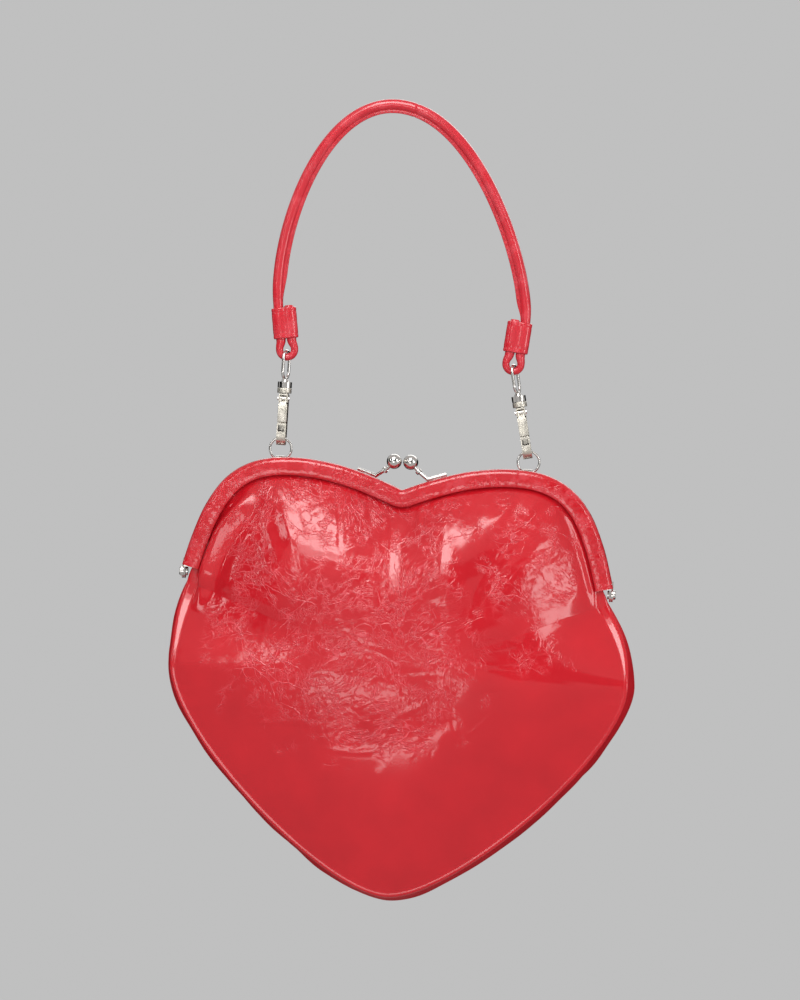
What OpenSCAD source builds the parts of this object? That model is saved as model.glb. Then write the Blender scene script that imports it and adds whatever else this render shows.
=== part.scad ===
// Heart shaped frame purse with a top handle, hanging from its handle.
// +Z is up, +X is to the right and the front faces -Y.
// The origin is the centre of the rolled handle over the middle of the bag.

/* [Frame] */
// Half the width of the frame at its ends, over the leather cover
frame_half_w = 111.5; // [106:0.5:116]
// How far the frame's ends hang below the notch of the heart
frame_drop = 43.5; // [40:0.5:48]
// Height of the two lobes above the notch
lobe_rise = 13.6; // [11:0.2:17]
// Distance of the top of each lobe from the middle
lobe_x = 57; // [54:0.5:60]
// Slope of the frame beside the notch, in degrees
notch_slope = 22.4; // [18:0.2:26]
// Rounding of the notch
notch_r = 1.5; // [1:0.1:3]
// Width of the covered frame, seen from the front
band_w = 9.3; // [8.8:0.1:10]
// Depth of one half of the frame, with its cover
half_depth = 6.6; // [6.4:0.1:7.4]
// Gap between the two closed halves
frame_gap = 0.4; // [0.3:0.05:0.8]
// Thickness of the channel's sheet metal
sheet_t = 0.8; // [0.6:0.05:1]
// Padded leather over the top of the channel
cover_top_t = 2.4; // [2.2:0.1:2.8]

/* [Frame hinge] */
// Height of the rivets' axis below the frame's ends
hinge_below = 4.9; // [4.6:0.1:5.6]
// Radius of the round ears
ear_r = 3.6; // [3.2:0.1:3.9]
// Thickness of an ear
ear_t = 0.9; // [0.7:0.05:1]
// Radius of the rivet's shaft
rivet_r = 1.2; // [0.9:0.05:1.4]
// Radius of the rivet's outer head
rivet_head_r = 2.4; // [2:0.1:3]

/* [Clasp] */
// Radius of the two balls
ball_r = 3.9; // [3.4:0.1:4.1]
// Height of the balls above the notch
ball_rise = 14.4; // [13.6:0.1:16]
// Distance between the centres of the balls
ball_pitch = 8.6; // [8.3:0.1:9.6]
// Radius of the clasp's arms
arm_r = 0.95; // [0.8:0.05:1.1]

/* [Pouch] */
// Half the width of the seam between panel and gusset, at its widest
seam_half_w = 118; // [114:0.5:121]
// How far the widest place lies below the notch
widest_drop = 95; // [90:1:100]
// How far the seam's tip lies below the notch
tip_drop = 209.6; // [202:0.4:216]
// Width of the gusset, front to back
gusset_w = 44; // [38:1:50]
// How far the gusset swells outwards
gusset_bulge = 3; // [1.5:0.1:4]
// Thickness of the pouch leather
leather_t = 1.4; // [1.2:0.1:1.6]
// How far the front panel swells past its seam
front_bulge = 12; // [9:0.5:16]
// How far the back panel swells past its seam
back_bulge = 9; // [6:0.5:14]
// How far the soft pouch hangs to one side of the frame's middle
pouch_shift = 4.4; // [0:0.2:6]
// Thickness of the lining
lining_t = 0.5; // [0.4:0.05:0.7]

/* [Handle] */
// Radius of the rolled handle
handle_r = 2.8; // [2.5:0.1:3.1]
// How far the stitched fin stands out of the roll
fin_w = 1.6; // [1:0.1:2]
// Thickness of the fin
fin_t = 1.7; // [1.2:0.1:2.2]
// Height of the handle's centre over the notch, above the bag's middle
grip_rise = 196.4; // [190:0.2:200]
// Slope of the handle over the bag's middle, in degrees
grip_slope = 22; // [14:0.5:24]
// Length of a keeper sleeve
keeper_h = 16; // [13:0.5:18]
// Radius of the cord in the handle's end loops
loop_cord_r = 1.9; // [1.8:0.05:2.1]
// Radius of the end loops, at the middle of the cord
loop_r = 3.9; // [3.6:0.05:4]

/* [Snap hooks] */
// Distance from the ring's wire to the leather loop
hook_reach = 42; // [41:0.5:46]
// Thickness of the hook, side to side
hook_t = 4.7; // [4.2:0.1:5]
// Radius inside the hook's bow
bow_r = 2.6; // [2.4:0.1:2.9]
// Width of the hook's metal round the bow
bow_w = 2.4; // [2:0.1:2.8]
// Radius of the swivel's collar and flange
collar_r = 3.7; // [3.3:0.1:4.2]
// Radius of the swivel's post
post_r = 1.25; // [1:0.05:1.4]
// Radius of the eye, at the middle of its wire
eye_r = 4; // [3.9:0.05:4.4]
// Radius of the eye's wire
eye_wire_r = 0.75; // [0.7:0.05:0.85]
// Turn of each eye from square, in degrees
eye_turn = 18; // [10:1:20]
// Lean of the left hook to the right, in degrees
left_lean = 0.5; // [0:0.5:3]
// Lean of the right hook to the left, in degrees
right_lean = 12; // [11:0.5:14]

/* [Rings] */
// Radius of a ring, at the middle of its wire
ring_r = 5.6; // [5.4:0.1:6]
// Radius of the ring's wire
ring_wire_r = 0.6; // [0.5:0.05:0.65]
// Distance of each ring from the middle of the bag
ring_x = 64.5; // [62:0.5:67]
// Height of the lugs' bores above the notch
lug_rise = 12.3; // [12.1:0.1:12.6]
// How far the rings stand behind the plane between the frame's halves
ring_setback = 2.6; // [2.55:0.05:2.75]

/* [Hidden] */
$fn = 48;

// Clearances and the overrun of cuts
fit_gap = 0.05;
press_gap = 0.02;
face_gap = 0.1;
seam_gap = 0.15;
seat_gap = 0.3;
eye_gap = 0.5;
overrun = 1;

// Colours
leather = "#C8202C";
lining_colour = "#B08A78";
metal = "#C9C9CC";
paper = "#B79A6A";

// General functions
function unit(v) = v / norm(v);
function bez(p, t) = pow(1 - t, 3) * p[0] + 3 * pow(1 - t, 2) * t * p[1]
    + 3 * (1 - t) * t * t * p[2] + pow(t, 3) * p[3];
function bez_dir(p, t) = unit(3 * pow(1 - t, 2) * (p[1] - p[0])
    + 6 * (1 - t) * t * (p[2] - p[1]) + 3 * t * t * (p[3] - p[2]));
function smooth(a) = let (b = min(max(a, 0), 1)) b * b * (3 - 2 * b);
function flip(list) = [for (i = [len(list) - 1 : -1 : 0]) list[i]];
function steps(from, to, count) = [for (i = [1 : count]) from + (to - from) * i / count];
function mid(a, b, share) = a + (b - a) * share;

// A closed solid through rings of points; caps lists the flat pieces of its ends
module skin(rings, caps = []) {
    count = len(rings);
    side = len(rings[0]);
    ends = len(caps) > 0 ? caps : [[for (j = [0 : side - 1]) j]];
    points = [for (ring = rings, p = ring) p];
    walls = [
        for (i = [0 : count - 2], j = [0 : side - 1])
            let (a = i * side + j, b = i * side + (j + 1) % side, c = a + side, d = b + side)
                each [[a, b, d], [a, d, c]]
    ];
    first = [for (cap = ends) flip(cap)];
    last = [for (cap = ends) [for (j = cap) (count - 1) * side + j]];
    polyhedron(points, concat(walls, first, last));
}

// A thin shell between two grids of points
module shell(outer, inner) {
    rows = len(outer);
    cols = len(outer[0]);
    half = rows * cols;
    points = concat([for (row = outer, p = row) p], [for (row = inner, p = row) p]);
    faces = [
        for (i = [0 : rows - 2], j = [0 : cols - 2])
            let (a = i * cols + j, b = a + 1, c = a + cols, d = c + 1)
                each [[a, c, d], [a, d, b], [half + a, half + d, half + c], [half + a, half + b, half + d]]
    ];
    ends = [
        for (i = [0 : rows - 2])
            let (a = i * cols, c = a + cols, e = a + cols - 1, f = e + cols)
                each [[a, half + a, half + c], [a, half + c, c], [e, f, half + f], [e, half + f, half + e]]
    ];
    edges = [
        for (j = [0 : cols - 2])
            let (a = j, b = j + 1, c = (rows - 1) * cols + j, d = c + 1)
                each [[a, b, half + b], [a, half + b, half + a], [c, half + d, d], [c, half + c, half + d]]
    ];
    polyhedron(points, concat(faces, ends, edges));
}

// A round rod from a to b, with its radii at both ends
module rod(a, b, r1, r2) {
    d = b - a;
    translate(a)
        rotate([0, acos(d.z / norm(d)), atan2(d.y, d.x)])
            cylinder(h = norm(d), r1 = r1, r2 = r2);
}

// A flat shape drawn in Y and Z, extruded along X about its middle
module across(width) {
    rotate([90, 0, 90]) linear_extrude(width, center = true) children();
}

// A cylinder along X from x1 to x2
module x_cylinder(x1, x2, r) {
    translate([x1, 0, 0]) rotate([0, 90, 0]) cylinder(h = x2 - x1, r = r);
}

// A block between two corners
module block(low, high) {
    translate(low) cube(high - low);
}

// Heights of the bag's own zero, the notch, and of the pieces above it
ring_z = lug_rise + ring_r - grip_rise;
pivot_z = -frame_drop - hinge_below;

// Depths in one half of the frame, measured from the parting plane
cover_side_t = 1.5;
cover_inner_t = 1.3;
cover_lip_r = 0.6;
cover_round = 3.2;
channel_lip = 0.5;
face_y = frame_gap / 2 + half_depth;
mid_y = frame_gap / 2 + half_depth / 2;
channel_in_y = frame_gap / 2 + cover_inner_t + face_gap;
channel_out_y = face_y - cover_side_t - face_gap;
slot_y = (channel_in_y + channel_out_y) / 2;
channel_n = band_w - channel_lip;

// The heart's crest: one half from the notch out to the end of the frame
crest_in_shares = [0.32, 0.384];
crest_out_shares = [0.6, 0.72];
end_splay = 14;
lobe_in = crest_in_shares[1] * lobe_x;
lobe_out = crest_out_shares[0] * (frame_half_w - lobe_x);
end_reach = crest_out_shares[1] * (frame_drop + lobe_rise);
notch_end = notch_r * [sin(notch_slope), 1 - cos(notch_slope)];
crest_in = [
    notch_end,
    notch_end + crest_in_shares[0] * lobe_x * [cos(notch_slope), sin(notch_slope)],
    [lobe_x - lobe_in, lobe_rise],
    [lobe_x, lobe_rise]
];
crest_out = [
    [lobe_x, lobe_rise],
    [lobe_x + lobe_out, lobe_rise],
    [frame_half_w, -frame_drop] + end_reach * [-sin(end_splay), cos(end_splay)],
    [frame_half_w, -frame_drop]
];
function station(p, d) = [p.x, p.y, d.y, -d.x];
function crest_half(stop, count_in, count_out) = concat(
    [for (a = [0, notch_slope / 2]) [notch_r * sin(a), notch_r * (1 - cos(a)), sin(a), -cos(a)]],
    [for (t = concat([0], steps(0, 1, count_in))) station(bez(crest_in, t), bez_dir(crest_in, t))],
    [for (t = steps(0, 1 - stop / (3 * end_reach), count_out))
        station(bez(crest_out, t), bez_dir(crest_out, t))]
);
function mirrored(s) = [-s[0], s[1], -s[2], s[3]];
function whole(half) = concat(flip([for (i = [1 : len(half) - 1]) mirrored(half[i])]), half);
function below(s, n) = [s[0] + n * s[2], s[1] + n * s[3]];
function place(s, n, y) = [s[0] + n * s[2], y, s[1] + n * s[3]];

cover_short = 3;
cord_short = 2;
channel_path = whole(crest_half(0, 9, 15));
cover_path = whole(crest_half(cover_short, 9, 15));
cord_path = whole(crest_half(cord_short, 9, 15));
panel_path = whole(crest_half(0, 5, 8));
crest_table = [for (s = crest_half(0, 9, 15)) [s[0], s[1]]];
function crest_z(x) = lookup(x, crest_table);

// Puts the bag's own frame, with its zero at the notch, under the handle
module at_bag() {
    translate([0, -ring_setback, -grip_rise]) children();
}

// Turns a piece drawn for the back half into one of the front half
module front_half() {
    mirror([0, 1, 0]) children();
}

module on_left() {
    mirror([1, 0, 0]) children();
}

module both_sides() {
    for (side = [0, 1]) mirror([side, 0, 0]) children();
}

// Part of a channel between two depths below the crest
module band(path, n1, n2, y1, y2) {
    translate([0, y2, 0])
        rotate([90, 0, 0])
            linear_extrude(y2 - y1)
                polygon(concat([for (s = path) below(s, n1)], flip([for (s = path) below(s, n2)])));
}

// Frame

joggle_x = frame_half_w - (cover_top_t + sheet_t) * cos(end_splay);
ear_inset = 1.5;
front_ear_x = frame_half_w - ear_inset;
back_ear_x = front_ear_x + ear_t + face_gap;
front_joggle_rise = 2.4;
front_joggle_h = 3.5;
back_joggle_rise = ear_r + 2 * face_gap;
back_joggle_h = 3.1;

module half_channel() {
    web_n = cover_top_t + sheet_t;
    band(channel_path, cover_top_t, web_n, channel_in_y, channel_out_y);
    band(channel_path, cover_top_t, channel_n, channel_in_y, channel_in_y + sheet_t);
    band(channel_path, cover_top_t, channel_n, channel_out_y - sheet_t, channel_out_y);
}

module ear(x, rise, height, bore_r) {
    low = [x, channel_in_y, pivot_z + rise];
    high = [x + ear_t, channel_out_y, pivot_z + rise + height];
    difference() {
        union() {
            block([joggle_x, low.y, low.z], high);
            hull() {
                block(low, high);
                translate([0, 0, pivot_z]) x_cylinder(x, x + ear_t, ear_r);
            }
        }
        translate([0, 0, pivot_z]) x_cylinder(x - overrun, x + ear_t + overrun, bore_r);
    }
}

module front_channel() color(metal) at_bag() front_half() {
    half_channel();
    both_sides() ear(front_ear_x, front_joggle_rise, front_joggle_h, rivet_r + fit_gap);
}

module back_channel() color(metal) at_bag() {
    half_channel();
    both_sides() ear(back_ear_x, back_joggle_rise, back_joggle_h, rivet_r + press_gap);
}

rivet_in_t = 0.9;
rivet_in_r = 2.2;
rivet_out_t = 1.3;
rivet_dome_t = 0.5;
module hinge_rivets() color(metal) at_bag() both_sides() translate([0, 0, pivot_z]) {
    in_x = front_ear_x - face_gap;
    out_x = back_ear_x + ear_t + face_gap;
    x_cylinder(in_x - rivet_in_t, in_x, rivet_in_r);
    x_cylinder(in_x - rivet_in_t, out_x + rivet_out_t - rivet_dome_t, rivet_r);
    x_cylinder(out_x, out_x + rivet_out_t - rivet_dome_t, rivet_head_r);
    translate([out_x + rivet_out_t - rivet_dome_t, 0, 0])
        rotate([0, 90, 0])
            cylinder(h = rivet_dome_t, r1 = rivet_head_r, r2 = rivet_head_r - rivet_dome_t);
}

// Section of the padded cover, as depth below the crest and distance from the parting plane
cover_profile = concat(
    [[band_w, frame_gap / 2]],
    [for (a = [0 : 22.5 : 180]) [cover_round * (1 - sin(a)), mid_y - half_depth / 2 * cos(a)]],
    [[band_w - cover_lip_r, face_y], [band_w, face_y - cover_lip_r]],
    [[band_w, channel_out_y + face_gap], [cover_top_t - face_gap, channel_out_y + face_gap]],
    [[cover_top_t - face_gap, channel_in_y - face_gap], [band_w, channel_in_y - face_gap]]
);

cover_caps = [
    [0, 1, 14, 15],
    for (i = [1 : 4]) [i, i + 1, 14],
    [5, 13, 14],
    for (i = [5 : 8]) [i, i + 1, 13],
    [9, 10, 11, 12, 13]
];

module half_cover() {
    skin([for (s = cover_path) [for (c = cover_profile) place(s, c[0], c[1])]], cover_caps);
}

// Clasp

clasp_off = 0.7;
base_end_x = 23.2;
elbow_x = 13.6;
collar_x = 8.8;
collar_y = 1.2;
collar_rise = 9.75;
clasp_collar_r = 1.65;
clasp_collar_t = 1.5;
tongue_w = 4;
tongue_t = 1.2;
ball_socket = 2;

function over_crest(x) = [x, mid_y, crest_z(x) + arm_r + 2 * face_gap];
function ball_at(shift) = [ball_pitch / 2 + shift, 0, ball_rise];
function collar_at(shift) = [collar_x + shift, collar_y, collar_rise];

module clasp_rod(shift, grow) {
    end = ball_at(shift);
    from = collar_at(shift);
    rod(from, end - (ball_r - ball_socket) * unit(end - from), arm_r + grow, arm_r + grow);
}

module tongue_block(shift, grow) {
    x = (base_end_x + elbow_x) / 2 + shift;
    half = [tongue_w, tongue_t, 0] / 2 + grow * [1, 1, 0];
    foot = [x, slot_y, crest_z(x) - cover_top_t - sheet_t];
    block(foot - half, [x, slot_y, crest_z(x) + arm_r] + half);
}

module clasp_arm(shift) {
    elbow = over_crest(elbow_x + shift);
    rod(over_crest(base_end_x + shift), elbow, arm_r, arm_r);
    rod(elbow, collar_at(shift), arm_r, arm_r);
    translate(elbow) sphere(arm_r + face_gap);
    clasp_rod(shift, 0);
    aim = unit(ball_at(shift) - collar_at(shift));
    rod(collar_at(shift) - clasp_collar_t / 2 * aim, collar_at(shift) + clasp_collar_t / 2 * aim,
        clasp_collar_r, clasp_collar_r);
    difference() {
        tongue_block(shift, 0);
        band(channel_path, cover_top_t, channel_n, 0, face_y);
    }
}

module clasp_ball(shift) {
    difference() {
        translate(ball_at(shift)) sphere(ball_r);
        clasp_rod(shift, press_gap);
    }
}

module front_clasp_arm() color(metal) at_bag() front_half() clasp_arm(-clasp_off);
module front_clasp_ball() color(metal) at_bag() front_half() clasp_ball(-clasp_off);
module back_clasp_arm() color(metal) at_bag() on_left() clasp_arm(clasp_off);
module back_clasp_ball() color(metal) at_bag() on_left() clasp_ball(clasp_off);

// Lugs that carry the rings on the back half

lug_w = 4.6;
lug_wall = 0.7;
lug_bore_r = 1.2;
lug_r = lug_bore_r + lug_wall;
notch_half = 5.2;
notch_extra = 0.4;

module ring_lug() {
    difference() {
        union() {
            translate([ring_x, ring_setback, lug_rise]) x_cylinder(-lug_w / 2, lug_w / 2, lug_r);
            block([ring_x - lug_w / 2, channel_in_y, lug_rise - lug_r - sheet_t],
                [ring_x + lug_w / 2, ring_setback + lug_r, lug_rise]);
        }
        translate([ring_x, ring_setback, lug_rise])
            x_cylinder(-lug_w / 2 - overrun, lug_w / 2 + overrun, lug_bore_r);
        band(channel_path, cover_top_t, channel_n, 0, face_y);
    }
}

// Room in the back cover for a lug and its ring
module ring_room() {
    low_z = crest_z(ring_x + lug_w / 2) - cover_top_t - notch_extra;
    block([ring_x - notch_half, -overrun, low_z],
        [ring_x + notch_half, channel_out_y, lobe_rise + overrun]);
}

module left_ring_lug() color(metal) at_bag() on_left() ring_lug();
module right_ring_lug() color(metal) at_bag() ring_lug();

module front_cover() color(leather) at_bag() front_half() difference() {
    half_cover();
    tongue_block(-clasp_off, face_gap);
}

module back_cover() color(leather) at_bag() difference() {
    half_cover();
    both_sides() ring_room();
    on_left() tongue_block(clasp_off, face_gap);
}

cord_from = cover_top_t + sheet_t + 2 * face_gap;
cord_depth = 6;
cord_half_t = 0.8;
module half_paper_cord() {
    band(cord_path, cord_from, cord_depth, slot_y - cord_half_t, slot_y + cord_half_t);
}
module front_paper_cord() color(paper) at_bag() front_half() half_paper_cord();
module back_paper_cord() color(paper) at_bag() half_paper_cord();

// Rings

module ring() {
    translate([ring_x, 0, ring_z])
        rotate([90, 0, 0])
            rotate_extrude() translate([ring_r, 0]) circle(ring_wire_r, $fn = 24);
}
module left_ring() color(metal) on_left() ring();
module right_ring() color(metal) ring();

// Snap hooks: drawn upright over the point where the ring's wire lies in the bow

bow_out = bow_r + bow_w;
ring_sag = ring_r - sqrt(ring_r * ring_r - hook_t * hook_t / 4);
bow_z = bow_r - ring_wire_r - ring_sag - seat_gap;
nose_top = 7.6;
window_half = 1.7;
window_low = 3.1;
window_high = 6.35;
head_low = 18.2;
head_h = 4.4;
neck_h = 0.6;
neck_r = 2.2;
collar_h = 2.6;
flange_h = 3;
stem_h = 1.6;
stem_r = 1.4;
knuckle_r = 1.5;
knuckle_w = 3.4;
pin_inset = 0.3;
pin_rise = 2.1;
pin_r = 0.7;
pin_head_r = 1;
pin_head_t = 0.7;
spring_w = 1.4;
spring_r = 1.3;
retainer_r = 1.9;
retainer_t = 1.1;
gate_t = 2;
gate_gap = 0.4;
gate_top_gap = 0.7;
tongue_low = 3.6;
gate_tongue_t = 1;
bridge_h = 1.6;
pin_y = -(bow_out - knuckle_r - pin_inset);
pin_z = head_low + pin_rise;
head_top = head_low + head_h;
collar_low = head_top + neck_h;
collar_top = collar_low + collar_h;
flange_low = collar_top + 2 * face_gap;
stem_low = flange_low + flange_h;
eye_low = stem_low + stem_h + eye_r;
eye_high = hook_reach + loop_cord_r + eye_gap + eye_wire_r - eye_r;

module at_hook(lean) {
    translate([ring_x, 0, ring_z]) rotate([0, -lean, 0]) translate([0, 0, ring_r]) children();
}

module hook() {
    half = hook_t / 2;
    difference() {
        union() {
            across(hook_t) {
                difference() {
                    translate([0, bow_z]) circle(bow_out);
                    translate([0, bow_z]) circle(bow_r);
                    translate([-bow_out - overrun, bow_z]) square([2 * (bow_out + overrun), bow_out + overrun]);
                }
                translate([bow_r, bow_z]) square([bow_w, head_top - bow_z]);
                translate([-bow_out, bow_z]) square([bow_w, nose_top - bow_z]);
                translate([-bow_out, head_low]) square([2 * bow_out, head_h]);
            }
            translate([0, 0, pin_z]) cylinder(h = collar_low + collar_h / 2 - pin_z, r = neck_r);
            translate([0, 0, collar_low]) cylinder(h = collar_h, r = collar_r);
        }
        block([-window_half, -bow_out - overrun, window_low], [window_half, 0, window_high]);
        block([-knuckle_w / 2 - fit_gap, -bow_out - overrun, head_low - overrun],
            [knuckle_w / 2 + fit_gap, pin_y + knuckle_r + seam_gap, pin_z + knuckle_r + seam_gap]);
        translate([0, pin_y, pin_z]) x_cylinder(-half - overrun, half + overrun, pin_r + press_gap);
        translate([0, 0, head_low - overrun])
            cylinder(h = collar_top - head_low + 2 * overrun, r = post_r + fit_gap);
    }
}

module swivel_eye(turn) {
    rotate([0, 0, turn]) {
        translate([0, 0, head_low - 2 * face_gap - retainer_t]) {
            cylinder(h = retainer_t, r = retainer_r);
            cylinder(h = stem_low - head_low + 2 * face_gap + retainer_t, r = post_r);
        }
        translate([0, 0, flange_low]) cylinder(h = flange_h, r = collar_r);
        translate([0, 0, stem_low]) cylinder(h = stem_h, r1 = neck_r, r2 = stem_r);
        for (end = [0, 1])
            translate([0, 0, end == 0 ? eye_low : eye_high])
                rotate([end == 0 ? -90 : 90, 0, 90])
                    rotate_extrude(angle = 180) translate([eye_r, 0]) circle(eye_wire_r, $fn = 24);
        for (y = [-eye_r, eye_r])
            translate([0, y, eye_low]) cylinder(h = eye_high - eye_low, r = eye_wire_r, $fn = 24);
    }
}

module gate() {
    half = hook_t / 2;
    gate_low = nose_top + gate_gap;
    gate_back = gate_t - bow_out;
    difference() {
        union() {
            translate([0, pin_y, pin_z]) x_cylinder(-knuckle_w / 2, knuckle_w / 2, knuckle_r);
            block([-knuckle_w / 2, -bow_out + pin_inset, head_low - gate_top_gap - overrun],
                [knuckle_w / 2, gate_back, pin_z]);
            block([-half, -bow_out, gate_low], [half, gate_back, head_low - gate_top_gap]);
            block([-window_half, gate_back - face_gap, gate_low],
                [window_half, gate_back + gate_tongue_t + gate_gap, gate_low + bridge_h]);
            block([-window_half, -bow_r + 2 * face_gap, tongue_low],
                [window_half, -bow_r + 2 * face_gap + gate_tongue_t, gate_low + bridge_h]);
        }
        translate([0, pin_y, pin_z])
            x_cylinder(-knuckle_w / 2 - overrun, knuckle_w / 2 + overrun, pin_r + fit_gap);
        block([-spring_w / 2 - face_gap, -bow_out - overrun, pin_z - spring_r - face_gap],
            [spring_w / 2 + face_gap, bow_out, pin_z + knuckle_r + overrun]);
    }
}

module gate_pin() {
    half = hook_t / 2 + fit_gap;
    translate([0, pin_y, pin_z]) {
        x_cylinder(-half, half, pin_r);
        x_cylinder(-half - pin_head_t, -half, pin_head_r);
        x_cylinder(half, half + pin_head_t, pin_head_r);
    }
}

module gate_spring() {
    translate([0, pin_y, pin_z]) difference() {
        x_cylinder(-spring_w / 2, spring_w / 2, spring_r);
        x_cylinder(-spring_w / 2 - overrun, spring_w / 2 + overrun, pin_r + fit_gap);
    }
}

module left_swivel_eye() color(metal) on_left() at_hook(left_lean) swivel_eye(eye_turn);
module left_hook() color(metal) on_left() at_hook(left_lean) hook();
module left_gate() color(metal) on_left() at_hook(left_lean) gate();
module left_gate_pin() color(metal) on_left() at_hook(left_lean) gate_pin();
module left_gate_spring() color(metal) on_left() at_hook(left_lean) gate_spring();
module right_swivel_eye() color(metal) at_hook(right_lean) swivel_eye(-eye_turn);
module right_hook() color(metal) at_hook(right_lean) hook();
module right_gate() color(metal) at_hook(right_lean) gate();
module right_gate_pin() color(metal) at_hook(right_lean) gate_pin();
module right_gate_spring() color(metal) at_hook(right_lean) gate_spring();

// Handle, its end loops and keepers

left_out = 8;
right_out = 6;
left_leg_in = -8;
right_leg_in = -2.3;
left_leg_share = 0.405;
right_leg_share = 0.25;
left_top_share = 0.762;
right_top_share = 0.634;
crush = 0.3;
strand_gap = 0.25;
keeper_wall = 0.9;
keeper_low = 9.75;
tail_out = 1;
butt_rise = 3.75;
strand_r = handle_r - crush;
strand_x = strand_r + strand_gap;
keeper_top = keeper_low + keeper_h;
keeper_w = 2 * (strand_x + strand_r + seat_gap + keeper_wall);
keeper_d = 2 * (strand_r + seat_gap + keeper_wall);

// The loop's lowest point, on the right side: x and z
function hook_top(lean) = [ring_x, ring_z] + (ring_r + hook_reach) * [-sin(lean), cos(lean)];

// The middle of the loop's round end, straight over its lowest point along the hook
function loop_centre(lean) = hook_top(lean) + loop_r * [-sin(lean), cos(lean)];

// A point of the keeper's own frame, x outwards and z up along its lean
function in_keeper(lean, out, x, z) =
    loop_centre(lean) + x * [cos(out), -sin(out)] + (z - loop_r) * [sin(out), cos(out)];

module at_loop(lean, out) {
    centre = loop_centre(lean);
    translate([centre.x, 0, centre.y]) rotate([0, out, 0]) translate([0, 0, -loop_r]) children();
}

module handle_loop() {
    translate([0, 0, loop_r])
        rotate([-90, 0, 0])
            rotate_extrude(angle = 180) translate([loop_r, 0]) circle(loop_cord_r);
    for (side = [-1, 1]) {
        rod([side * loop_r, 0, loop_r], [side * strand_x, 0, keeper_low], loop_cord_r, strand_r);
        translate([side * loop_r, 0, loop_r]) sphere(loop_cord_r);
        translate([side * strand_x, 0, keeper_low]) sphere(strand_r);
    }
    translate([strand_x, 0, keeper_low]) cylinder(h = butt_rise, r = strand_r);
    translate([-strand_x, 0, keeper_low]) cylinder(h = keeper_h + tail_out, r = strand_r);
}

module obround(width, depth) {
    square([width - depth, depth], center = true);
    for (side = [-1, 1]) translate([side * (width - depth) / 2, 0]) circle(depth / 2);
}

module keeper() {
    translate([0, 0, keeper_low]) linear_extrude(keeper_h) difference() {
        obround(keeper_w, keeper_d);
        obround(keeper_w - 2 * keeper_wall, keeper_d - 2 * keeper_wall);
    }
}

// One side of the handle's line: from over the middle out to the keeper's top
function handle_curve(lean, out, slope, top_share, leg_share, leg_in) =
    let (end = in_keeper(lean, out, strand_x, keeper_top))
        [
            [0, 0],
            top_share * end.x * [cos(slope), sin(slope)],
            end + leg_share * abs(end.y) * [-sin(leg_in), cos(leg_in)],
            end
        ];

// Stations of one side: place, direction, radius and fin
function handle_side(curve, lean, out) =
    let (last = bez_dir(curve, 1), down = [-sin(out), -cos(out)])
        concat(
            [for (t = concat([0], steps(0, 1, 25)))
                let (d = t == 1 ? unit(last + down) : bez_dir(curve, t), fade = smooth((t - 0.86) / 0.12))
                    [bez(curve, t), d, mid(handle_r, strand_r, smooth((t - 0.9) / 0.1)), 1 - fade]],
            [for (z = [mid(keeper_top, keeper_low, 0.2), keeper_low + butt_rise + face_gap])
                [in_keeper(lean, out, strand_x, z), down, strand_r, 0]]
        );

function handle_ring(s) =
    let (r = s[2], n = [s[1].y, -s[1].x], a0 = asin(fin_t / 2 / r), tip = r + fin_w * s[3] + face_gap)
        [
            for (q = concat(
                [[tip, -fin_t / 2], [tip, fin_t / 2]],
                [for (a = concat([a0], steps(a0, 360 - a0, 11))) r * [cos(a), sin(a)]]
            ))
                [s[0].x + q[0] * n.x, q[1], s[0].y + q[0] * n.y]
        ];

module handle_cord() color(leather) {
    left = handle_side(
        handle_curve(left_lean, left_out, grip_slope, left_top_share, left_leg_share, left_leg_in),
        left_lean, left_out);
    right = handle_side(
        handle_curve(right_lean, right_out, -grip_slope, right_top_share, right_leg_share, right_leg_in),
        right_lean, right_out);
    line = concat(
        flip([for (i = [1 : len(left) - 1])
            let (s = left[i]) [[-s[0].x, s[0].y], [s[1].x, -s[1].y], s[2], s[3]]]),
        right
    );
    skin([for (s = line) handle_ring(s)]);
}

module left_handle_loop() color(leather) on_left() at_loop(left_lean, left_out) handle_loop();
module right_handle_loop() color(leather) at_loop(right_lean, right_out) handle_loop();
module left_keeper() color(leather) on_left() at_loop(left_lean, left_out) keeper();
module right_keeper() color(leather) at_loop(right_lean, right_out) keeper();

// Pouch, drawn with its own middle over the notch and then let hang to one side

seam_inset = 3;
seam_clear = 1;
seam_up_shares = [0.3, 0.5];
seam_low_shares = [0.318, 0.279];
seam_lead = 30;
gusset_fade = 45;
gusset_bulge_top = 0.8;
rim_w = 2.6;
edge_n = 6.5;
mouth_n = band_w + seat_gap;
centre_share = 0.9;
frame_power = 2.6;
seam_power = 2;
fold_share = 0.22;
fold_end = -0.9;
fold_fade_shares = [1, 0.75, 0.35, 0.1];
panel_row_shares = [0.1, 0.25, 0.45, 0.7, 1];
lining_gap = 0.4;
shift_span = 45;

seam_top = [frame_half_w - seam_inset, pivot_z - ear_r - seam_clear];
seam_side = [seam_half_w, -widest_drop];
up_h = seam_top.y - seam_side.y;
low_h = tip_drop - widest_drop;
seam_up = [
    seam_top,
    seam_top + seam_up_shares[0] * up_h * [sin(seam_lead), -cos(seam_lead)],
    seam_side + [0, seam_up_shares[1] * up_h],
    seam_side
];
seam_low = [
    seam_side,
    seam_side - [0, seam_low_shares[0] * low_h],
    [seam_low_shares[1] * seam_half_w, -tip_drop],
    [0, -tip_drop]
];
centre = [0, -widest_drop];
rim_y = slot_y + leather_t / 2 + seam_gap;

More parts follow.
